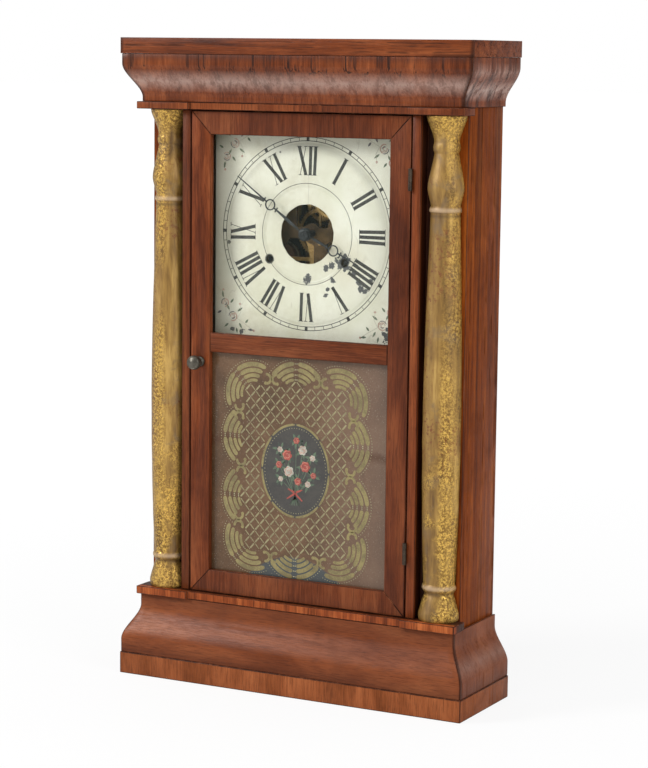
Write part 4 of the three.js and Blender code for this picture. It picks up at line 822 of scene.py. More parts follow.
def circleOutline(count, across=0.5, up=None):
    return [onCircle((0, 0), 2 * pi * i / count, across, up) for i in range(count)]


def dashOutline():
    # a bar from -0.5 to 0.5, a fifth as wide, with round ends
    right = [(0.42 + 0.08 * cos(a), 0.1 * sin(a)) for a in (-1.57, -0.6, 0.6, 1.57)]
    return right + [(-x, -z) for x, z in right]


stamps = {
    "dot": makeStamp("dotStamp", circleOutline(8), 0.08, 0.05),
    "dash": makeStamp("dashStamp", dashOutline(), 0.015),
    "bar": makeStamp("barStamp", [(-0.5, -0.5), (0.5, -0.5), (0.5, 0.5), (-0.5, 0.5)], 0.02),
}


def stampOn(name, stamp, spots, size, finish, slotName, body):
    # spots are (point, turn, (width, depth, height)) with sizes as shares of size
    mesh = bpy.data.meshes.new(name)
    mesh.from_pydata([spot[0] for spot in spots], [], [])
    turns = mesh.attributes.new("turn", "FLOAT", "POINT")
    reaches = mesh.attributes.new("reach", "FLOAT_VECTOR", "POINT")
    for i, (_, turn, reach) in enumerate(spots):
        turns.data[i].value = turn
        reaches.data[i].vector = reach
    made = toScene(name, mesh)
    modifier = made.modifiers.new("stamps", "NODES")
    modifier.node_group = stampGroup
    modifier[stampSockets["Stamp"]] = stamps[stamp]
    modifier[stampSockets["Finish"]] = finishes[finish]
    modifier[stampSockets["Size"]] = size
    settle(made)
    smooth(made, 40)
    return stand(made, slotName, body=body)


boards = {  # node: name, finish, softened edge in millimetres, slot
    "top_board": ("topBoard", "top", 0.9, "mahogany"),
    "case_side_left": ("sideLeft", "side", 0.7, "mahogany"),
    "case_side_right": ("sideRight", "side", 0.7, "mahogany"),
    "column_shelf": ("columnShelf", "shelf", 0.7, "mahogany"),
    "capital_shelf": ("capitalShelf", "capital", 0.7, "mahogany"),
    "front_stile_left": ("frontStileLeft", "jambLeft", 0.6, "mahogany"),
    "front_stile_right": ("frontStileRight", "jamb", 0.6, "mahogany"),
    "plinth": ("plinthFrame", "plinth", 1.0, "dark_mahogany"),
    "door_stile_left": ("doorStileLeft", "stile", 0.6, "mahogany"),
    "door_stile_right": ("doorStileRight", "stileRightShaded", 0.6, "mahogany"),
    "door_rail_top": ("doorRailTop", "rail", 0.6, "mahogany"),
    "door_rail_middle": ("doorRailMiddle", "railMiddle", 0.6, "mahogany"),
    "door_rail_bottom": ("doorRailBottom", "rail", 0.6, "mahogany"),
}
for node, (name, finish, edge, slotName) in boards.items():
    board = ofNode(node, name, [finishes[finish], finishes["edge"]])
    stand(soften(board, edge * mm), slotName, node)

inside = {
    "back_board": ("backBoard", "pine"),
    "bottom_board": ("bottomBoard", "pineAcross"),
    "weight_partition_left": ("partitionLeft", "pine"),
    "weight_partition_right": ("partitionRight", "pine"),
}
for node, (name, finish) in inside.items():
    board = ofNode(node, name, [finishes[finish]])
    stand(soften(board, 0.5 * mm, edgeMaterial=False), "pine", node)
print("boards made:", len(boards) + len(inside))

ogees = {
    "steps": 40,
    "fillet": 0.9,  # millimetres of inset at the wide end
    "depth": 15.4,  # and at the narrow end
    "base": {"wide": 35.0, "narrow": 70.0},
    "cornice": {"wide": 610.0, "narrow": 577.0},
    "overlap": 0.26,  # millimetres, closes the joints that show as slits of light
    "gap": 0.15,  # between the front and its returns
    "uneven": 0.18,  # waviness of the face
    "stations": {"front": 48, "return": 16},
    "frontTo": 16,  # inset up to which the face is uneven
}


def ogeeProfile(kind, low, high):
    # (inset, z) in metres from bottom to top
    wide, narrow = ogees[kind]["wide"] * mm, ogees[kind]["narrow"] * mm
    points = []
    for i in range(ogees["steps"] + 1):
        t = i / ogees["steps"]
        inset = (ogees["fillet"] + (ogees["depth"] - ogees["fillet"]) * t * t * (3 - 2 * t)) * mm
        points.append((inset, wide + (narrow - wide) * t))
    points.sort(key=lambda p: p[1])
    return [(points[0][0], low), *points, (points[-1][0], high)]


def ogeeMoulding(node, name, kind, finish):
    low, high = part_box(node)
    low.z -= ogees["overlap"] * mm
    high.z += ogees["overlap"] * mm
    profile = ogeeProfile(kind, low.z, high.z)
    half = cadHigh.x
    gap = ogees["gap"] * mm
    frontPlane = low.y - ogees["fillet"] * mm
    if node.endswith("front"):
        deep = high.y - frontPlane
        place = lambda inset, z, end: (end * (half - inset - gap), frontPlane + inset, z)
        count = ogees["stations"]["front"]
        stations = [-1 + 2 * i / count for i in range(count + 1)]
    else:
        side = 1 if node.endswith("right") else -1
        deep = half - (low.x if side > 0 else -high.x)
        start = lambda inset: frontPlane + inset
        place = lambda inset, z, end: (
            side * (half - inset), start(inset) + (high.y - start(inset)) * end, z
        )
        count = ogees["stations"]["return"]
        stations = [i / count for i in range(count + 1)]
    section = profile + [(deep, high.z), (deep, low.z)]
    shape = bmesh.new()
    rings = []
    for end in stations:
        ring = []
        for inset, z in section:
            spot = Vector(place(inset, z, end))
            if inset < ogees["frontTo"] * mm and low.z < z < high.z and spot.y < 0:
                spot.y += ogees["uneven"] * mm * noise.noise(spot * 22)
            ring.append(shape.verts.new(spot))
        rings.append(ring)
    bridge(shape, rings)
    shape.faces.new(rings[0])
    shape.faces.new(rings[-1])
    piece = newPiece(name, faceOut(shape), [finishes[finish], finishes["edge"]])
    return stand(soften(piece, 0.5 * mm, angle=40), "mahogany", node)


for place in ("front", "left", "right"):
    for kind, ofReturn in (("cornice", "return"), ("base", "baseReturn")):
        finish = kind if place == "front" else ofReturn
        ogeeMoulding(f"{kind}_ogee_{place}", f"{kind}Ogee{place.title()}", kind, finish)
print("mouldings made")

column = {
    "segments": 72,
    "wobble": 0.34,  # millimetres of unevenness in the gesso
    "axisIn": 2.0,  # how far the turned axis stands in front of the flat
    "profile": [  # radius and height in millimetres
        (0, 89.3), (19.0, 89.3), (19.8, 91.0), (20.0, 93.3), (19.9, 96.0), (19.4, 98.3), (17.4, 105.3),
        (15.9, 110.5), (14.6, 114.3), (14.9, 116.3), (16.7, 119.0), (17.1, 121.3), (16.5, 123.4),
        (15.7, 125.3), (16.0, 129.3), (17.4, 172.3), (18.3, 215.3), (18.8, 258.3), (18.7, 302.8),
        (18.1, 345.8), (17.0, 388.8), (15.8, 432.0), (14.5, 473.4), (14.6, 475.7), (15.4, 476.6),
        (15.6, 478.4), (15.3, 480.2), (14.5, 481.9), (14.7, 484.0), (16.2, 489.7), (17.6, 496.0),
        (17.8, 500.0), (16.9, 506.7), (14.3, 518.7), (12.0, 529.5), (11.9, 531.5), (12.8, 533.7),
        (13.1, 536.0), (12.8, 538.7), (12.2, 541.7), (13.4, 547.7), (16.6, 555.7), (18.6, 560.6),
        (19.3, 563.0), (19.5, 565.2), (19.0, 565.7), (0, 565.7),
    ],
}


def halfColumn(node, name, finish):
    low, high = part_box(node)
    centreX = (low.x + high.x) / 2
    flat = high.y
    axisY = flat - column["axisIn"] * mm
    profile = metres(column["profile"])
    ends, body = (profile[:2], profile[-2:]), through(profile[1:-1], 4)
    shape = revolve([ends[0][0], *body, ends[1][1]], (centreX, axisY, 0), "z", column["segments"])
    for vert in shape.verts:
        outward = Vector((vert.co.x - centreX, vert.co.y - axisY, 0))
        if outward.length > 0.004 and low.z + 0.001 < vert.co.z < high.z - 0.001:
            uneven = noise.noise(vert.co * 45) * 0.7 + noise.noise(vert.co * 160) * 0.3
            vert.co += outward.normalized() * (uneven - 0.5) * column["wobble"] * mm
    cutAway(shape, (centreX, flat, 0), (0, 1, 0))
    piece = smooth(newPiece(name, faceOut(shape), [finishes[finish]]), 50)
    return stand(piece, "gilt", node)


for side in ("left", "right"):
    halfColumn(f"half_column_{side}", f"column{side.title()}", f"gilt{side.title()}")
print("columns made")

knob = {
    "clear": 0.3,  # millimetres in front of the door
    "profile": [  # radius and distance in front of the door, millimetres
        (0, 0), (4.6, 0), (4.9, 0.8), (4.6, 1.6), (3.5, 2.6), (3.2, 4.6), (3.4, 6.8), (5.4, 8.4),
        (6.8, 9.8), (7.15, 11.6), (7.0, 13.2), (6.5, 14.6), (5.8, 15.2), (5.3, 15.1), (3.4, 15.9),
        (1.5, 16.6), (0, 16.8),
    ],
}


def doorKnob():
    node = "door_knob"
    axisX, _, axisZ = jointOf("knob_turn")["pos_m"]
    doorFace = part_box("door_stile_left")[0].y
    profile = through([(r * mm, -d * mm) for r, d in knob["profile"]], 3)
    centre = (axisX, doorFace - knob["clear"] * mm, axisZ)
    head = revolve([(max(r, 0), h) for r, h in profile], centre, "y", 40)
    headPiece = smooth(newPiece("knobHead", head, [finishes["pewter"]]), 60)
    behindFace = lambda shape: cutAway(shape, (0, doorFace, 0), (0, -1, 0))
    latch = soften(ofNode(node, "knobLatch", [finishes["pewter"], finishes["steel"]], behindFace), 0.2 * mm)
    stand(headPiece, "pewter", node)
    stand(latch, "pewter", body=bodyOf(node))


doorKnob()


def bandOutline(centre, radii, start, end, width, steps=14):
    # an arc bar with eased ends; radii are one radius, or across and up; angles in degrees
    across, up = radii if isinstance(radii, tuple) else (radii, radii)
    outline = []
    for sign in (1, -1):
        for i in range(steps + 1):
            t = i / steps if sign > 0 else 1 - i / steps
            taper = min(1.0, 0.5 + 9 * min(t, 1 - t)) * sign * width / 2
            angle = radians(start + (end - start) * t)
            outline.append(onCircle(centre, angle, across + taper, up + taper))
    return outline


def strokeOutline(start, end, width, endWidth=None):
    endWidth = width if endWidth is None else endWidth
    dx, dz = end[0] - start[0], end[1] - start[1]
    length = hypot(dx, dz)
    nx, nz = -dz / length / 2, dx / length / 2
    return [
        (start[0] - nx * width, start[1] - nz * width), (end[0] - nx * endWidth, end[1] - nz * endWidth),
        (end[0] + nx * endWidth, end[1] + nz * endWidth), (start[0] + nx * width, start[1] + nz * width),
    ]


def leafOutline(root, angle, length, width):
    points = []
    half = [(0, 0), (0.2, 0.7), (0.45, 1), (0.75, 0.6), (1, 0)]
    for share, side in half + [(share, -side) for share, side in half[3:0:-1]]:
        across = side * width / 2
        points.append((
            root[0] + share * length * cos(angle) - across * sin(angle),
            root[1] + share * length * sin(angle) + across * cos(angle),
        ))
    return points


def circleAt(centre, radius, count=10, uneven=0.0):
    off = lambda: radius * (1 + uneven * random.uniform(-1, 1))
    return [onCircle(centre, 2 * pi * i / count, off(), off()) for i in range(count)]


def printed(name, outlines, origin, face, thickness, finish, slotName, body):
    # outlines are in millimetres from origin, made thin plates standing on a face across y
    shape = bmesh.new()
    for outline in outlines:
        spots = [(origin.x + x * mm, origin.z + z * mm) for x, z in outline]
        front = [shape.verts.new((x, face - thickness, z)) for x, z in spots]
        back = [shape.verts.new((x, face, z)) for x, z in spots]
        shape.faces.new(front)
        shape.faces.new(list(reversed(back)))
        for i in range(len(spots)):
            j = (i + 1) % len(spots)
            shape.faces.new((front[i], back[i], back[j], front[j]))
    bmesh.ops.triangulate(faceOut(shape), faces=[f for f in shape.faces if len(f.verts) > 4])
    return stand(newPiece(name, shape, [finishes[finish]]), slotName, body=body)


def printOnDial(name, outlines, height, finish, face):
    return printed(name, outlines, dialCentre, face, height * mm, finish, "dial_paint", "case")


def printOnTablet(name, outlines, height, finish, face=tabletFace):
    return printed(name, outlines, tabletCentre, face, height * mm, finish, "tablet", "door")


dial = {
    "raised": 0.6,  # millimetres that the chapter ring stands proud
    "raisedFrom": 46, "raisedTo": 87, "blend": 2.2,
    "numeralOuter": 84.3, "numeralInner": 57, "innerCircle": 49.0,
    "trackOuter": 93.3, "trackInner": 89.7, "line": 0.7,
    "thick": 3.3, "thin": 0.6, "serif": 0.6,
    "glyphs": {"I": 5.5, "V": 11.5, "X": 12.5},
    "numerals": ["XII", "I", "II", "III", "IIII", "V", "VI", "VII", "VIII", "IX", "X", "XI"],
    "rings": [28.75, 36, 43, 44, 44.8, 45.5, 46.2, 47, 60, 74, 85.6, 86.4, 87.2, 88, 89, 97, 112, 150],
    "segments": 144,
    "ragged": 0.6,  # at the edge of the hole
    "winding": 3.8,  # radius of the winding holes
    "ink": 0.05,
    "tick": 4.0,  # one stamp's size
    "innerLine": 0.5,  # width of the inner circle
    "glyphEdge": 2.6,  # from a glyph's side to its stroke's middle
    "serifHalf": (2.7, 2.0),  # under thick and thin strokes
    "narrowing": 0.14,  # of a numeral at its inner end
    "quarterSteps": 20,
}


def dialPlate():
    low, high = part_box("dial_plate")
    shape = bmesh.new()
    rings = []
    for radius in dial["rings"]:
        rise = min(1, max(0, (radius - dial["raisedFrom"] + 1) / dial["blend"]))
        fall = min(1, max(0, (dial["raisedTo"] + 1 - radius) / dial["blend"]))
        lift = dial["raised"] * mm * min(rise, fall) ** 2 * (3 - 2 * min(rise, fall))
        ragged = dial["ragged"] * mm if radius == dial["rings"][0] else 0.0
        ring = []
        for i in range(dial["segments"]):
            angle = 2 * pi * i / dial["segments"]
            edge = radius * mm + ragged * noise.noise(Vector((*onCircle((0, 0), angle, 1), 0)) * 5)
            x, z = onCircle((0, dialCentre.z), angle, edge)
            ring.append(shape.verts.new((x, low.y - lift, z)))
        rings.append(ring)
    bridge(shape, rings)
    for spot, way in ((low, (-1, 0, 0)), (high, (1, 0, 0)), (low, (0, 0, -1)), (high, (0, 0, 1))):
        cutAway(shape, spot, way, fill=False)
    if faceOut(shape).faces[0].normal.y > 0:
        bmesh.ops.reverse_faces(shape, faces=shape.faces)
    piece = newPiece("dialPlate", shape, [finishes["dial"]])
    wall = piece.modifiers.new("wall", "SOLIDIFY")
    wall.thickness = high.y - low.y
    wall.offset = -1
    settle(piece)
    for side in (-1, 1):
        centre = dialCentre + Vector((side * windingSpot.x, 0, windingSpot.z))
        wide = dial["winding"] * mm
        profile = [(0, -5 * mm), (wide, -5 * mm), (wide, 5 * mm), (0, 5 * mm)]
        tool = newPiece("windingDrill", revolve(profile, centre, "y", 28), [])
        bore = piece.modifiers.new("bore", "BOOLEAN")
        bore.object = tool
        bore.solver = "EXACT"
        settle(piece)
        bpy.data.objects.remove(tool)
    return stand(smooth(piece, 35), "dial_paint", "dial_plate")


def glyphParts(glyph, reach):
    # strokes are (u outside, u inside, kind), serifs (u, v, half width)
    wide, slim = dial["serifHalf"]
    return {
        "I": ([(0, 0, "thick")], [(0, 1, wide), (0, 0, wide)]),
        "V": ([(-reach, 0.4, "thick"), (reach, 0.4, "thin")], [(-reach, 1, wide), (reach, 1, slim)]),
        "X": ([(-reach, reach, "thick"), (reach, -reach, "thin")],
              [(-reach, 1, wide), (reach, 0, wide), (reach, 1, slim), (-reach, 0, slim)]),
    }[glyph]


def numeralOutlines():
    outlines = []
    outer, inner = dial["numeralOuter"], dial["numeralInner"]
    for hour, glyphs in enumerate(dial["numerals"]):
        angle = radians(90 - 30 * hour)

        def at(u, v):
            # u across the numeral, v from its inner to its outer end
            radius = inner + (outer - inner) * v
            u *= 1 - dial["narrowing"] * (1 - v)
            return cos(angle) * radius + sin(angle) * u, sin(angle) * radius - cos(angle) * u

        left = -sum(dial["glyphs"][g] for g in glyphs) / 2
        for glyph in glyphs:
            width = dial["glyphs"][glyph]
            middle = left + width / 2
            strokes, serifs = glyphParts(glyph, width / 2 - dial["glyphEdge"])
            for fromU, toU, kind in strokes:
                outlines.append(strokeOutline(at(middle + fromU, 1), at(middle + toU, 0), dial[kind]))
            for u, v, half in serifs:
                ends = [at(middle + u + way * half, v) for way in (-1, 1)]
                outlines.append(strokeOutline(*ends, dial["serif"]))
            left += width
    return outlines


def fullCircle(radius, width):
    # in four quarters
    steps = dial["quarterSteps"]
    outlines = []
    for start in (0, 90, 180, 270):
        outer = [(radius + width / 2, start + 90 * i / steps) for i in range(steps + 1)]
        inner = [(radius - width / 2, start + 90 * (1 - i / steps)) for i in range(steps + 1)]
        outlines.append([onCircle((0, 0), radians(a), r) for r, a in outer + inner])
    return outlines


def dialPrint():
    face = dialBox[0].y
    raised = face - dial["raised"] * mm
    printOnDial("dialNumerals", numeralOutlines(), dial["ink"], "ink", raised)
    inner = fullCircle(dial["innerCircle"], dial["innerLine"])
    printOnDial("dialInnerCircle", inner, dial["ink"], "ink", raised)
    outer, inner = dial["trackOuter"], dial["trackInner"]
    rings = fullCircle(outer, dial["line"]) + fullCircle(inner, dial["line"])
    printOnDial("dialTrack", rings, dial["ink"], "ink", face)
    ticks = []
    for minute in range(60):
        angle = radians(90 - 6 * minute)
        x, z = onCircle((0, 0), angle, (outer + inner) / 2 * mm)
        long, wide = (1.25, 3.2) if minute % 5 == 0 else (1.0, 0.55)
        reach = tuple(r / dial["tick"] for r in ((outer - inner) * long, 2.5, wide))
        ticks.append((dialCentre + Vector((x, 0, z)), -angle, reach))
    stampOn("dialTicks", "bar", ticks, dial["tick"] * mm, "ink", "dial_paint", "case")


sprays = {
    # the upper right corner, in millimetres from the dial centre; mirrored for the others
    "roses": [(82, 84, 4.8), (91, 71, 4.2)],
    "petals": [  # finish, share of the size, turn and span in degrees, width, steps
        ("pink", 0.9, 0, 190, 1.3, 12), ("pink", 0.6, 150, 170, 1.1, 12), ("pink", 0.3, 20, 240, 0.9, 12),
        ("slate", 0.95, 190, 110, 0.9, 9), ("slate", 0.45, -10, 120, 0.9, 9),
    ],
    "leaves": [
        (77, 79, 215, 7.4), (86, 78, 300, 6.6), (87, 91, 40, 6.2), (75, 90, 120, 6.6), (93, 66, 280, 7.0),
        (65, 96, 175, 6.6), (95, 79, 30, 5.6), (78, 95, 100, 5.8), (85, 71, 230, 6.0), (68, 90, 230, 5.4),
    ],
    "stems": [
        [(60, 96), (68, 91), (77, 86), (85, 80), (91, 71), (93, 60)],
        [(77, 86), (73, 79), (74, 73)],
    ],
    "buds": [(74, 71.5, 1.3), (58.5, 96.8, 1.2), (93, 58, 1.3)],
    "nudge": 1.6, "leafWidth": 2.3, "stemWidth": 0.32,
    "greenShare": 0.6,  # of the leaves
}


def cornerSprays():
    groups = {"pink": [], "leaf": [], "slate": [], "stem": []}
    for sideX in (-1, 1):
        for sideZ in (-1, 1):
            flip = lambda points: [(x * sideX, z * sideZ) for x, z in points]
            nudge = random.uniform(-sprays["nudge"], sprays["nudge"])
            for x, z, size in sprays["roses"]:
                start = random.uniform(20, 90)
                for finish, share, turn, span, width, steps in sprays["petals"]:
                    ends = (start + turn, start + turn + span)
                    band = bandOutline((x + nudge, z - nudge), size * share, *ends, width, steps)
                    groups[finish].append(flip(band))
            for x, z, angle, length in sprays["leaves"]:
                root = (x + nudge, z - nudge)
                outline = flip(leafOutline(root, radians(angle), length, sprays["leafWidth"]))
                groups["leaf" if random.random() < sprays["greenShare"] else "slate"].append(outline)
            for line in sprays["stems"]:
                shifted = [(x + nudge, z - nudge) for x, z in line]
                for a, b in zip(shifted, shifted[1:]):
                    groups["stem"].append(flip(strokeOutline(a, b, sprays["stemWidth"])))
            for x, z, size in sprays["buds"]:
                groups["pink"].append(flip(circleAt((x + nudge, z - nudge), size, 9, 0.15)))
    for i, (finish, outlines) in enumerate(groups.items()):
        # each colour a hair above the last, so that none share a plane
        printOnDial(f"dialSpray{finish.title()}", outlines, 0.03 + 0.008 * i, finish, dialBox[0].y)


collet = [  # radius and place along the axis in millimetres, from the hand's front
    (0, -1.3), (0.9, -1.3), (1.1, -1.0), (1.2, -0.35), (2.2, -0.3), (2.5, -0.7), (3.0, -0.75), (3.3, -0.4),
    (4.4, -0.35), (4.9, -0.05), (4.9, 0.25), (0, 0.25),
]


def handCollet():
    # the turned washer that holds the hands, with a ring round its pin
    centre = Vector((0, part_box("minute_hand")[0].y, dialCentre.z))
    shape = revolve(metres(collet), centre, "y", 40)
    piece = smooth(newPiece("handCollet", shape, [finishes["handIron"]]), 30)
    return stand(piece, "iron", body=bodyOf("minute_hand"))


dialPlate()
dialPrint()
cornerSprays()
handCollet()
print("dial made")

tablet = {
    "lobes": [  # centre in millimetres, middle angle and half span in degrees
        ((-46.5, 72), 135, 71), ((0, 73), 90, 54),
        ((46.5, 72), 45, 71), ((-47, 29.5), 180, 50),
        ((-47, -29.5), 180, 50), ((47, 29.5), 0, 50),
        ((47, -29.5), 0, 50), ((-46.5, -72), 225, 71),
        ((0, -73), 270, 54), ((46.5, -72), 315, 71),
    ],
    "neighbours": [(0, 1), (1, 2), (0, 3), (3, 4), (2, 5), (5, 6), (4, 7), (6, 9), (7, 8), (8, 9)],
    "bars": [(32.0, 4.5), (26.3, 4.1), (21.1, 3.6), (16.4, 2.9)],  # radius and width
    "cornerBars": [(29.6, 4.5), (23.9, 4.1), (18.7, 3.6), (14.0, 2.9)],
    "cornerSpan": 60,  # lobes that span more are the corners
    "barShrink": 3.5,  # degrees less for each bar inwards
    "split": 2.3, "pairReach": 0.95, "beadOut": 4.3, "beadStep": 2.7,
    "dotSizes": {"tabletBeads": 1.05, "tabletDots": 1.5, "trellisDots": 1.2, "medallionBeads": 1.0},
    "dash": {"size": 5.7, "long": 1.14, "rising": 1.4, "falling": 0.9},
    "margin": 2.4,  # kept clear inside the lobes
    "ovalMargin": 2.6,
    "trellisPitch": (5.6, 6.3),
    "trellisHalf": (56, 80),
    "oval": (38.0, 46.6), "ovalRing": 2.2,
    "scroll": {"radius": 4.5, "apart": 5.4, "width": 2.7, "bulb": 3.4, "reach": 105},
    "sideTo": 66,  # height up to which the scrolls open sideways
}


def barsOf(lobe):
    return tablet["cornerBars" if lobe[2] > tablet["cornerSpan"] else "bars"]


def lobeBars(lobe):
    centre, turn, span = lobe
    outlines = []
    for i, (radius, width) in enumerate(barsOf(lobe)):
        reach = span - i * tablet["barShrink"]
        split = degrees(tablet["split"] / radius)
        for low, high in ((-reach, -split), (split, reach)):
            outlines.append(bandOutline(centre, radius, turn + low, turn + high, width, 12))
    return outlines


def lobeDots(lobe):
    # the pairs of dots across the bars, and the beaded line outside them
    centre, turn, span = lobe
    pairs = []
    for radius, _ in barsOf(lobe):
        for way in (-1, 1):
            angle = radians(turn + way * degrees(tablet["pairReach"] / radius))
            pairs.append(onCircle(centre, angle, radius))
    outside = barsOf(lobe)[0][0] + tablet["beadOut"]
    count = round(radians(2 * span) * outside / tablet["beadStep"])
    angles = [radians(turn - span + 2 * span * i / count) for i in range(count + 1)]
    return pairs, [onCircle(centre, angle, outside) for angle in angles]


def junctionScroll(first, second):
    # two scrolls back to back where neighbouring lobes meet, each with a bulb at its inner end
    ends = []
    for (centre, turn, span), (other, *_) in ((first, second), (second, first)):
        toward = atan2(other[1] - centre[1], other[0] - centre[0])
        sides = [radians(turn + way * span) for way in (-1, 1)]
        near = min(sides, key=lambda a: abs(remainder(a - toward, 2 * pi)))
        ends.append(onCircle(centre, near, tablet["bars"][2][0]))
    middle = ((ends[0][0] + ends[1][0]) / 2, (ends[0][1] + ends[1][1]) / 2)
    if abs(middle[1]) < tablet["sideTo"]:
        inward = 180.0 if middle[0] > 0 else 0.0
    else:
        inward = -90.0 if middle[1] > 0 else 90.0
    look = tablet["scroll"]
    outlines = []
    for way in (-1, 1):
        root = onCircle(middle, radians(inward + 90), way * look["apart"])
        near, reach = inward - 90 * way, look["reach"]
        outlines.append(bandOutline(root, look["radius"], near - reach, near + reach, look["width"], 14))
        bulb = onCircle(root, radians(near + way * reach), look["radius"])
        outlines.append(circleAt(bulb, look["bulb"] / 2, 12))
    return outlines


def insideTrellis(x, z):
    ovalX, ovalZ = (half + tablet["ovalMargin"] for half in tablet["oval"])
    if (x / ovalX) ** 2 + (z / ovalZ) ** 2 < 1:
        return False
    inLobe = False
    for lobe in tablet["lobes"]:
        centre, turn, span = lobe
        inner = barsOf(lobe)[-1][0] - tablet["margin"]
        away = hypot(x - centre[0], z - centre[1])
        angle = degrees(atan2(z - centre[1], x - centre[0]))
        if abs(remainder(angle - turn, 360)) < span + 6 and away > inner:
            return False
        inLobe = inLobe or away < inner
    return inLobe or (abs(x) < tablet["trellisHalf"][0] and abs(z) < tablet["trellisHalf"][1])


def trellisSpots():
    stepX, stepZ = tablet["trellisPitch"]
    dashes, dots = [], []
    for i in range(-14, 15):
        for j in range(-16, 17):
            if (i + j) % 2:
                continue
            x, z = i * stepX, j * stepZ
            if insideTrellis(x, z):
                dots.append((x, z))
            for way in (-1, 1):
                midX, midZ = x + stepX / 2, z + way * stepZ / 2
                if insideTrellis(midX, midZ):
                    dashes.append((midX, midZ, atan2(way * stepZ, stepX)))
    return dashes, dots


def onTablet(x, z, lift=0.0):
    return Vector((tabletCentre.x + x * mm, tabletFace - lift, tabletCentre.z + z * mm))


def dotsOnTablet(name, points, finish, lift=0.0):
    spots = [(onTablet(x, z, lift), 0, (1, 1, 1)) for x, z in points]
    return stampOn(name, "dot", spots, tablet["dotSizes"][name] * mm, finish, "tablet", "door")


def rosette(centre, size, petals, turn):
    outline = []
    for i in range(petals * 8):
        angle = 2 * pi * i / (petals * 8)
        reach = size * (0.76 + 0.2 * abs(cos(petals / 2 * angle + turn)))
        outline.append(onCircle(centre, angle, reach))
    return outline


posy = {  # flower heads: x, z, size, finish
    "heads": [
        (-9, 15, 5.6, "red"), (8, 21, 5.2, "white"), (11, 5, 5.8, "red"), (-7, -1, 5.8, "white"),
        (-18, 5, 3.8, "red"), (19, 14, 3.4, "white"), (1, 30, 3.6, "red"), (-17, 20, 3.2, "white"),
        (20, -3, 3.4, "red"), (3, -10, 4.2, "red"), (-16, -9, 3.0, "white"), (14, -12, 3.4, "white"),
    ],
    "ribbon": [
        ((0, -22), (-9, -28), 2.2, 1.2), ((0, -22), (8, -29), 2.2, 1.2),
        ((-1, -21), (-8, -18), 2.4, 1.0), ((1, -21), (8, -18), 2.4, 1.0),
    ],
    "petalLines": ((0.74, 40), (0.5, 190), (0.26, 300)),  # share of the size, start in degrees
    "leavesRound": 9,
    "knot": -22,  # height where the stems cross
    "ground": 0.04,  # height of the oval's ground
    "beads": 78,
    "layers": ["stem", "greenDark", "green", "red", "white", "blush"],  # from the lowest
}


def medallion():
    ringX, ringZ = tablet["oval"]
    printOnTablet("medallionGround", [circleOutline(72, ringX, ringZ)], posy["ground"], "oval")
    face = tabletFace - posy["ground"] * mm
    ring = [
        bandOutline((0, 0), (ringX - 1.2, ringZ - 1.2), start + 1.2, start + 43.8, tablet["ovalRing"], 10)
        for start in range(0, 360, 45)
    ]
    printOnTablet("medallionRing", ring, 0.05, "gold", face)
    beads = circleOutline(posy["beads"], ringX - 4.2, ringZ - 4.6)
    dotsOnTablet("medallionBeads", beads, "goldLight", posy["ground"] * mm)
    colours = {key: [] for key in posy["layers"]}
    for x, z, size, finish in posy["heads"]:
        turn = random.uniform(0, 1)
        for i in range(posy["leavesRound"]):
            angle = turn + 2 * pi * i / posy["leavesRound"] + random.uniform(-0.3, 0.3)
            root = onCircle((x, z), angle, size * 0.6)
            leaf = leafOutline(root, angle + random.uniform(-0.5, 0.5), random.uniform(4.6, 7.6), 2.5)
            colours["green" if i % 2 else "greenDark"].append(leaf)
        tied = (x * 0.1, posy["knot"])
        colours["stem"].append(strokeOutline((x, z), tied, 0.6, 0.8))
        colours["stem"].append(strokeOutline(tied, (x * -0.3, posy["knot"] - 12), 0.8, 0.5))
        colours[finish].append(rosette((x, z), size, 6, turn))
        for share, start in posy["petalLines"]:
            start += turn * 60
            colours["blush"].append(bandOutline((x, z), size * share, start, start + 190, size * 0.11, 9))
    colours["red"] += [strokeOutline(*stroke) for stroke in posy["ribbon"]]
    for i, key in enumerate(posy["layers"]):
        name = "posy" + key[0].upper() + key[1:]
        printOnTablet(name, colours[key], 0.02 + 0.007 * i, "green" if key == "stem" else key, face)


def tabletPattern():
    bars, curls, pairs, beads = [], [], [], []
    lobes = tablet["lobes"]
    for lobe in lobes:
        bars += lobeBars(lobe)
        found = lobeDots(lobe)
        pairs += found[0]
        beads += found[1]
    for a, b in tablet["neighbours"]:
        curls += junctionScroll(lobes[a], lobes[b])
    printOnTablet("tabletBars", bars, 0.05, "gold")
    for i, name in enumerate(("tabletScrolls", "tabletBulbs")):
        printOnTablet(name, curls[i::2], 0.06 + 0.02 * i, "gold")
    dotsOnTablet("tabletBeads", beads, "goldLight")
    dotsOnTablet("tabletDots", pairs, "goldLight")
    dashes, dots = trellisSpots()
    dash = tablet["dash"]
    spots = [
        (onTablet(x, z), -turn, (dash["long"], 1, dash["rising" if turn > 0 else "falling"]))
        for x, z, turn in dashes
    ]
    stampOn("trellisDashes", "dash", spots, dash["size"] * mm, "trellis", "tablet", "door")
    dotsOnTablet("trellisDots", dots, "trellis")
    medallion()


tabletPattern()
print("tablet made")

cordLook = {"radius": 1.0, "sides": 12, "twist": 3.6, "groove": 0.2}  # millimetres, turns every twist
cordRoute = {
    "drumRadius": 14, "pulleyRadius": 16, "clearance": 0.3, "drum": (41, 423.1), "pulley": (111, 598.1),
    "hook": 175.3, "y": 12,
    "drift": 2.6,  # how far the wraps run along the drum
    "wraps": 0.9,
    "step": 0.9,
}


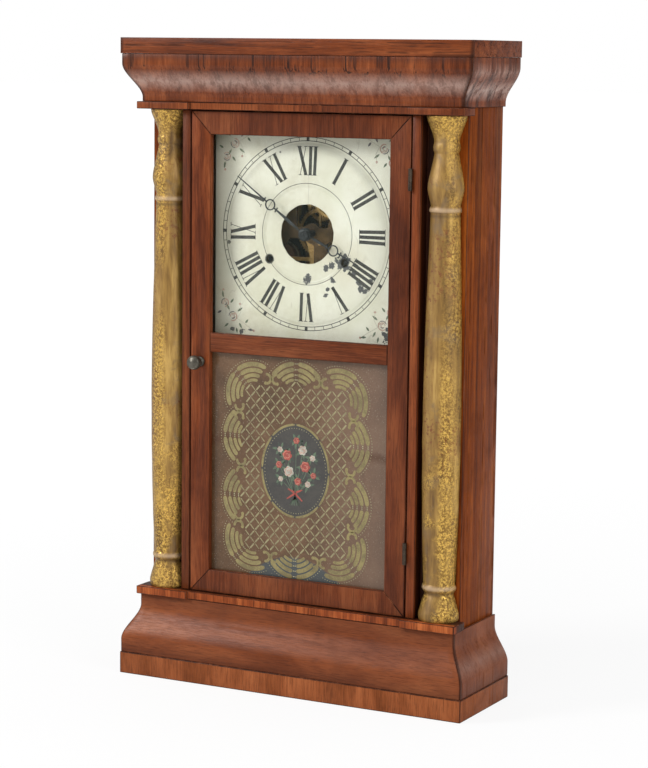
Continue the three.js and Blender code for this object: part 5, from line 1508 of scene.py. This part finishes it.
def routePoints():
    y = cordRoute["y"]
    wrap, over = (
        cordRoute[key] + cordLook["radius"] + cordRoute["clearance"] for key in ("drumRadius", "pulleyRadius")
    )
    (drumX, drumZ), (pulleyX, pulleyZ) = cordRoute["drum"], cordRoute["pulley"]
    dx, dz = pulleyX - drumX, pulleyZ - drumZ
    leave = atan2(dz, dx) - acos((wrap + over) / hypot(dx, dz))
    winding, bend = [], []
    for i in range(49):
        back = 1 - i / 48
        x, z = onCircle((drumX, drumZ), leave - 2 * pi * cordRoute["wraps"] * back, wrap)
        winding.append(Vector((x, y + cordRoute["drift"] * back, z)))
    for i in range(31):
        x, z = onCircle((pulleyX, pulleyZ), (leave + pi) * (1 - i / 30), over)
        bend.append(Vector((x, y, z)))
    return winding, bend, Vector((bend[-1].x, y, cordRoute["hook"]))


def evenly(points, step):
    line = [points[0]]
    for a, b in zip(points, points[1:]):
        count = max(1, round((b - a).length / step))
        line += [a.lerp(b, i / count) for i in range(1, count + 1)]
    return line


def ropeMesh(points, side):
    shape = bmesh.new()
    rings, travelled = [], 0.0
    for i, point in enumerate(points):
        before, after = points[max(i - 1, 0)], points[min(i + 1, len(points) - 1)]
        travelled += (point - before).length
        ahead = (after - before).normalized()
        across = ahead.cross(Vector((0, 1, 0))).normalized()
        other = across.cross(ahead)
        ring = []
        for k in range(cordLook["sides"]):
            angle = 2 * pi * k / cordLook["sides"]
            phase = 3 * angle - 2 * pi * travelled / cordLook["twist"]
            radius = cordLook["radius"] * (1 - cordLook["groove"] * (0.5 - 0.5 * cos(phase)))
            spot = point + (across * cos(angle) + other * sin(angle)) * radius
            ring.append(shape.verts.new((side * spot.x * mm, spot.y * mm, spot.z * mm)))
        rings.append(ring)
    closedTube(shape, rings)
    return faceOut(shape)


def cordPiece(name, points, side):
    shape = ropeMesh(evenly(points, cordRoute["step"]), side)
    return smooth(newPiece(name, shape, [finishes["cord"]]), 60)


def weightCords():
    winding, bend, hook = routePoints()
    for name, side in (("time", 1), ("strike", -1)):
        stand(cordPiece(f"{name}CordRun", winding + bend, side), "cord", f"{name}_cord")
        fall = stand(cordPiece(f"{name}CordFall", [bend[-1], hook], side), "cord", body="case")
        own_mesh(fall)


weightCords()
print("cords made")

carried = {  # finish: nodes
    "glass": ["door_glass_upper"],
    "tablet": ["door_tablet_lower"],
    "hingeSteel": [f"{at}_hinge_{leaf}_leaf" for at in ("upper", "lower") for leaf in ("door", "frame")],
    "plateBrass": ["front_plate"],
    "plateDark": ["back_plate"],
    "handIron": ["minute_hand", "hour_hand"],
    "brass": [
        "minute_wheel", "centre_wheel", "third_wheel", "escape_wheel", "time_great_wheel",
        "strike_great_wheel", "pin_wheel", "warning_wheel", "fly", "count_wheel", "pendulum_bob",
    ],
    "drum": ["time_drum", "strike_drum"],
    "steel": ["verge", "hammer", "pendulum_rod"],
    "iron": ["coil_gong"],
    "castIron": ["time_weight", "strike_weight"],
    "turned": ["time_pulley", "strike_pulley"],
}
for finish, nodes in carried.items():
    for node in nodes:
        mesh = frame["nodes"][node].data
        mesh.materials.clear()
        mesh.materials.append(finishes[finish])
print("carried nodes dressed:", sum(map(len, carried.values())))


def makeStudio():
    world = bpy.data.worlds.new("studioWorld")
    bpy.context.scene.world = world
    world.use_nodes = True
    tree = world.node_tree
    tree.nodes.clear()
    kinds = ("LightPath", "Background", "Background", "MixShader", "OutputWorld")
    path, seen, lit, mixed, ends = (tree.nodes.new(f"ShaderNode{kind}") for kind in kinds)
    seen.inputs["Color"].default_value = (1, 1, 1, 1)
    lit.inputs["Color"].default_value = tone(*studio["skyTone"])
    lit.inputs["Strength"].default_value = studio["worldStrength"]
    tree.links.new(path.outputs["Is Camera Ray"], mixed.inputs[0])
    tree.links.new(lit.outputs[0], mixed.inputs[1])
    tree.links.new(seen.outputs[0], mixed.inputs[2])
    tree.links.new(mixed.outputs[0], ends.inputs["Surface"])

    floor = Finish("paleFloor")
    floor.surface({"Base Color": tone(*studio["floorTone"]), "Roughness": 0.9})
    output = floor.tree.nodes["Material Output"]
    where = floor.place()
    away = floor.distance(where, (0, 0, 0))
    near, far = (tone(level, level, level) for level in studio["floorGlow"])
    glowTone = floor.mix(away.above(studio["floorReach"], studio["floorReach"]), near, far)
    glow = floor.node("ShaderNodeEmission", None, {"Color": glowTone, "Strength": 1.0})
    seen = floor.node("ShaderNodeLightPath") * studio["floorShare"]
    shader = Link(floor, floor.shader.outputs[0])
    blend = floor.node("ShaderNodeMixShader", None, {0: seen, 1: shader, 2: glow})
    floor.tree.links.new(blend.socket, output.inputs["Surface"])
    shape = bmesh.new()
    bmesh.ops.create_grid(shape, x_segments=2, y_segments=2, size=2 * studio["floorHalf"])
    newPiece("floor", shape, [floor.material])


makeCamera()
makeLamps()
makeStudio()
for stamp in stamps.values():
    bpy.data.objects.remove(stamp)
print("studio made")
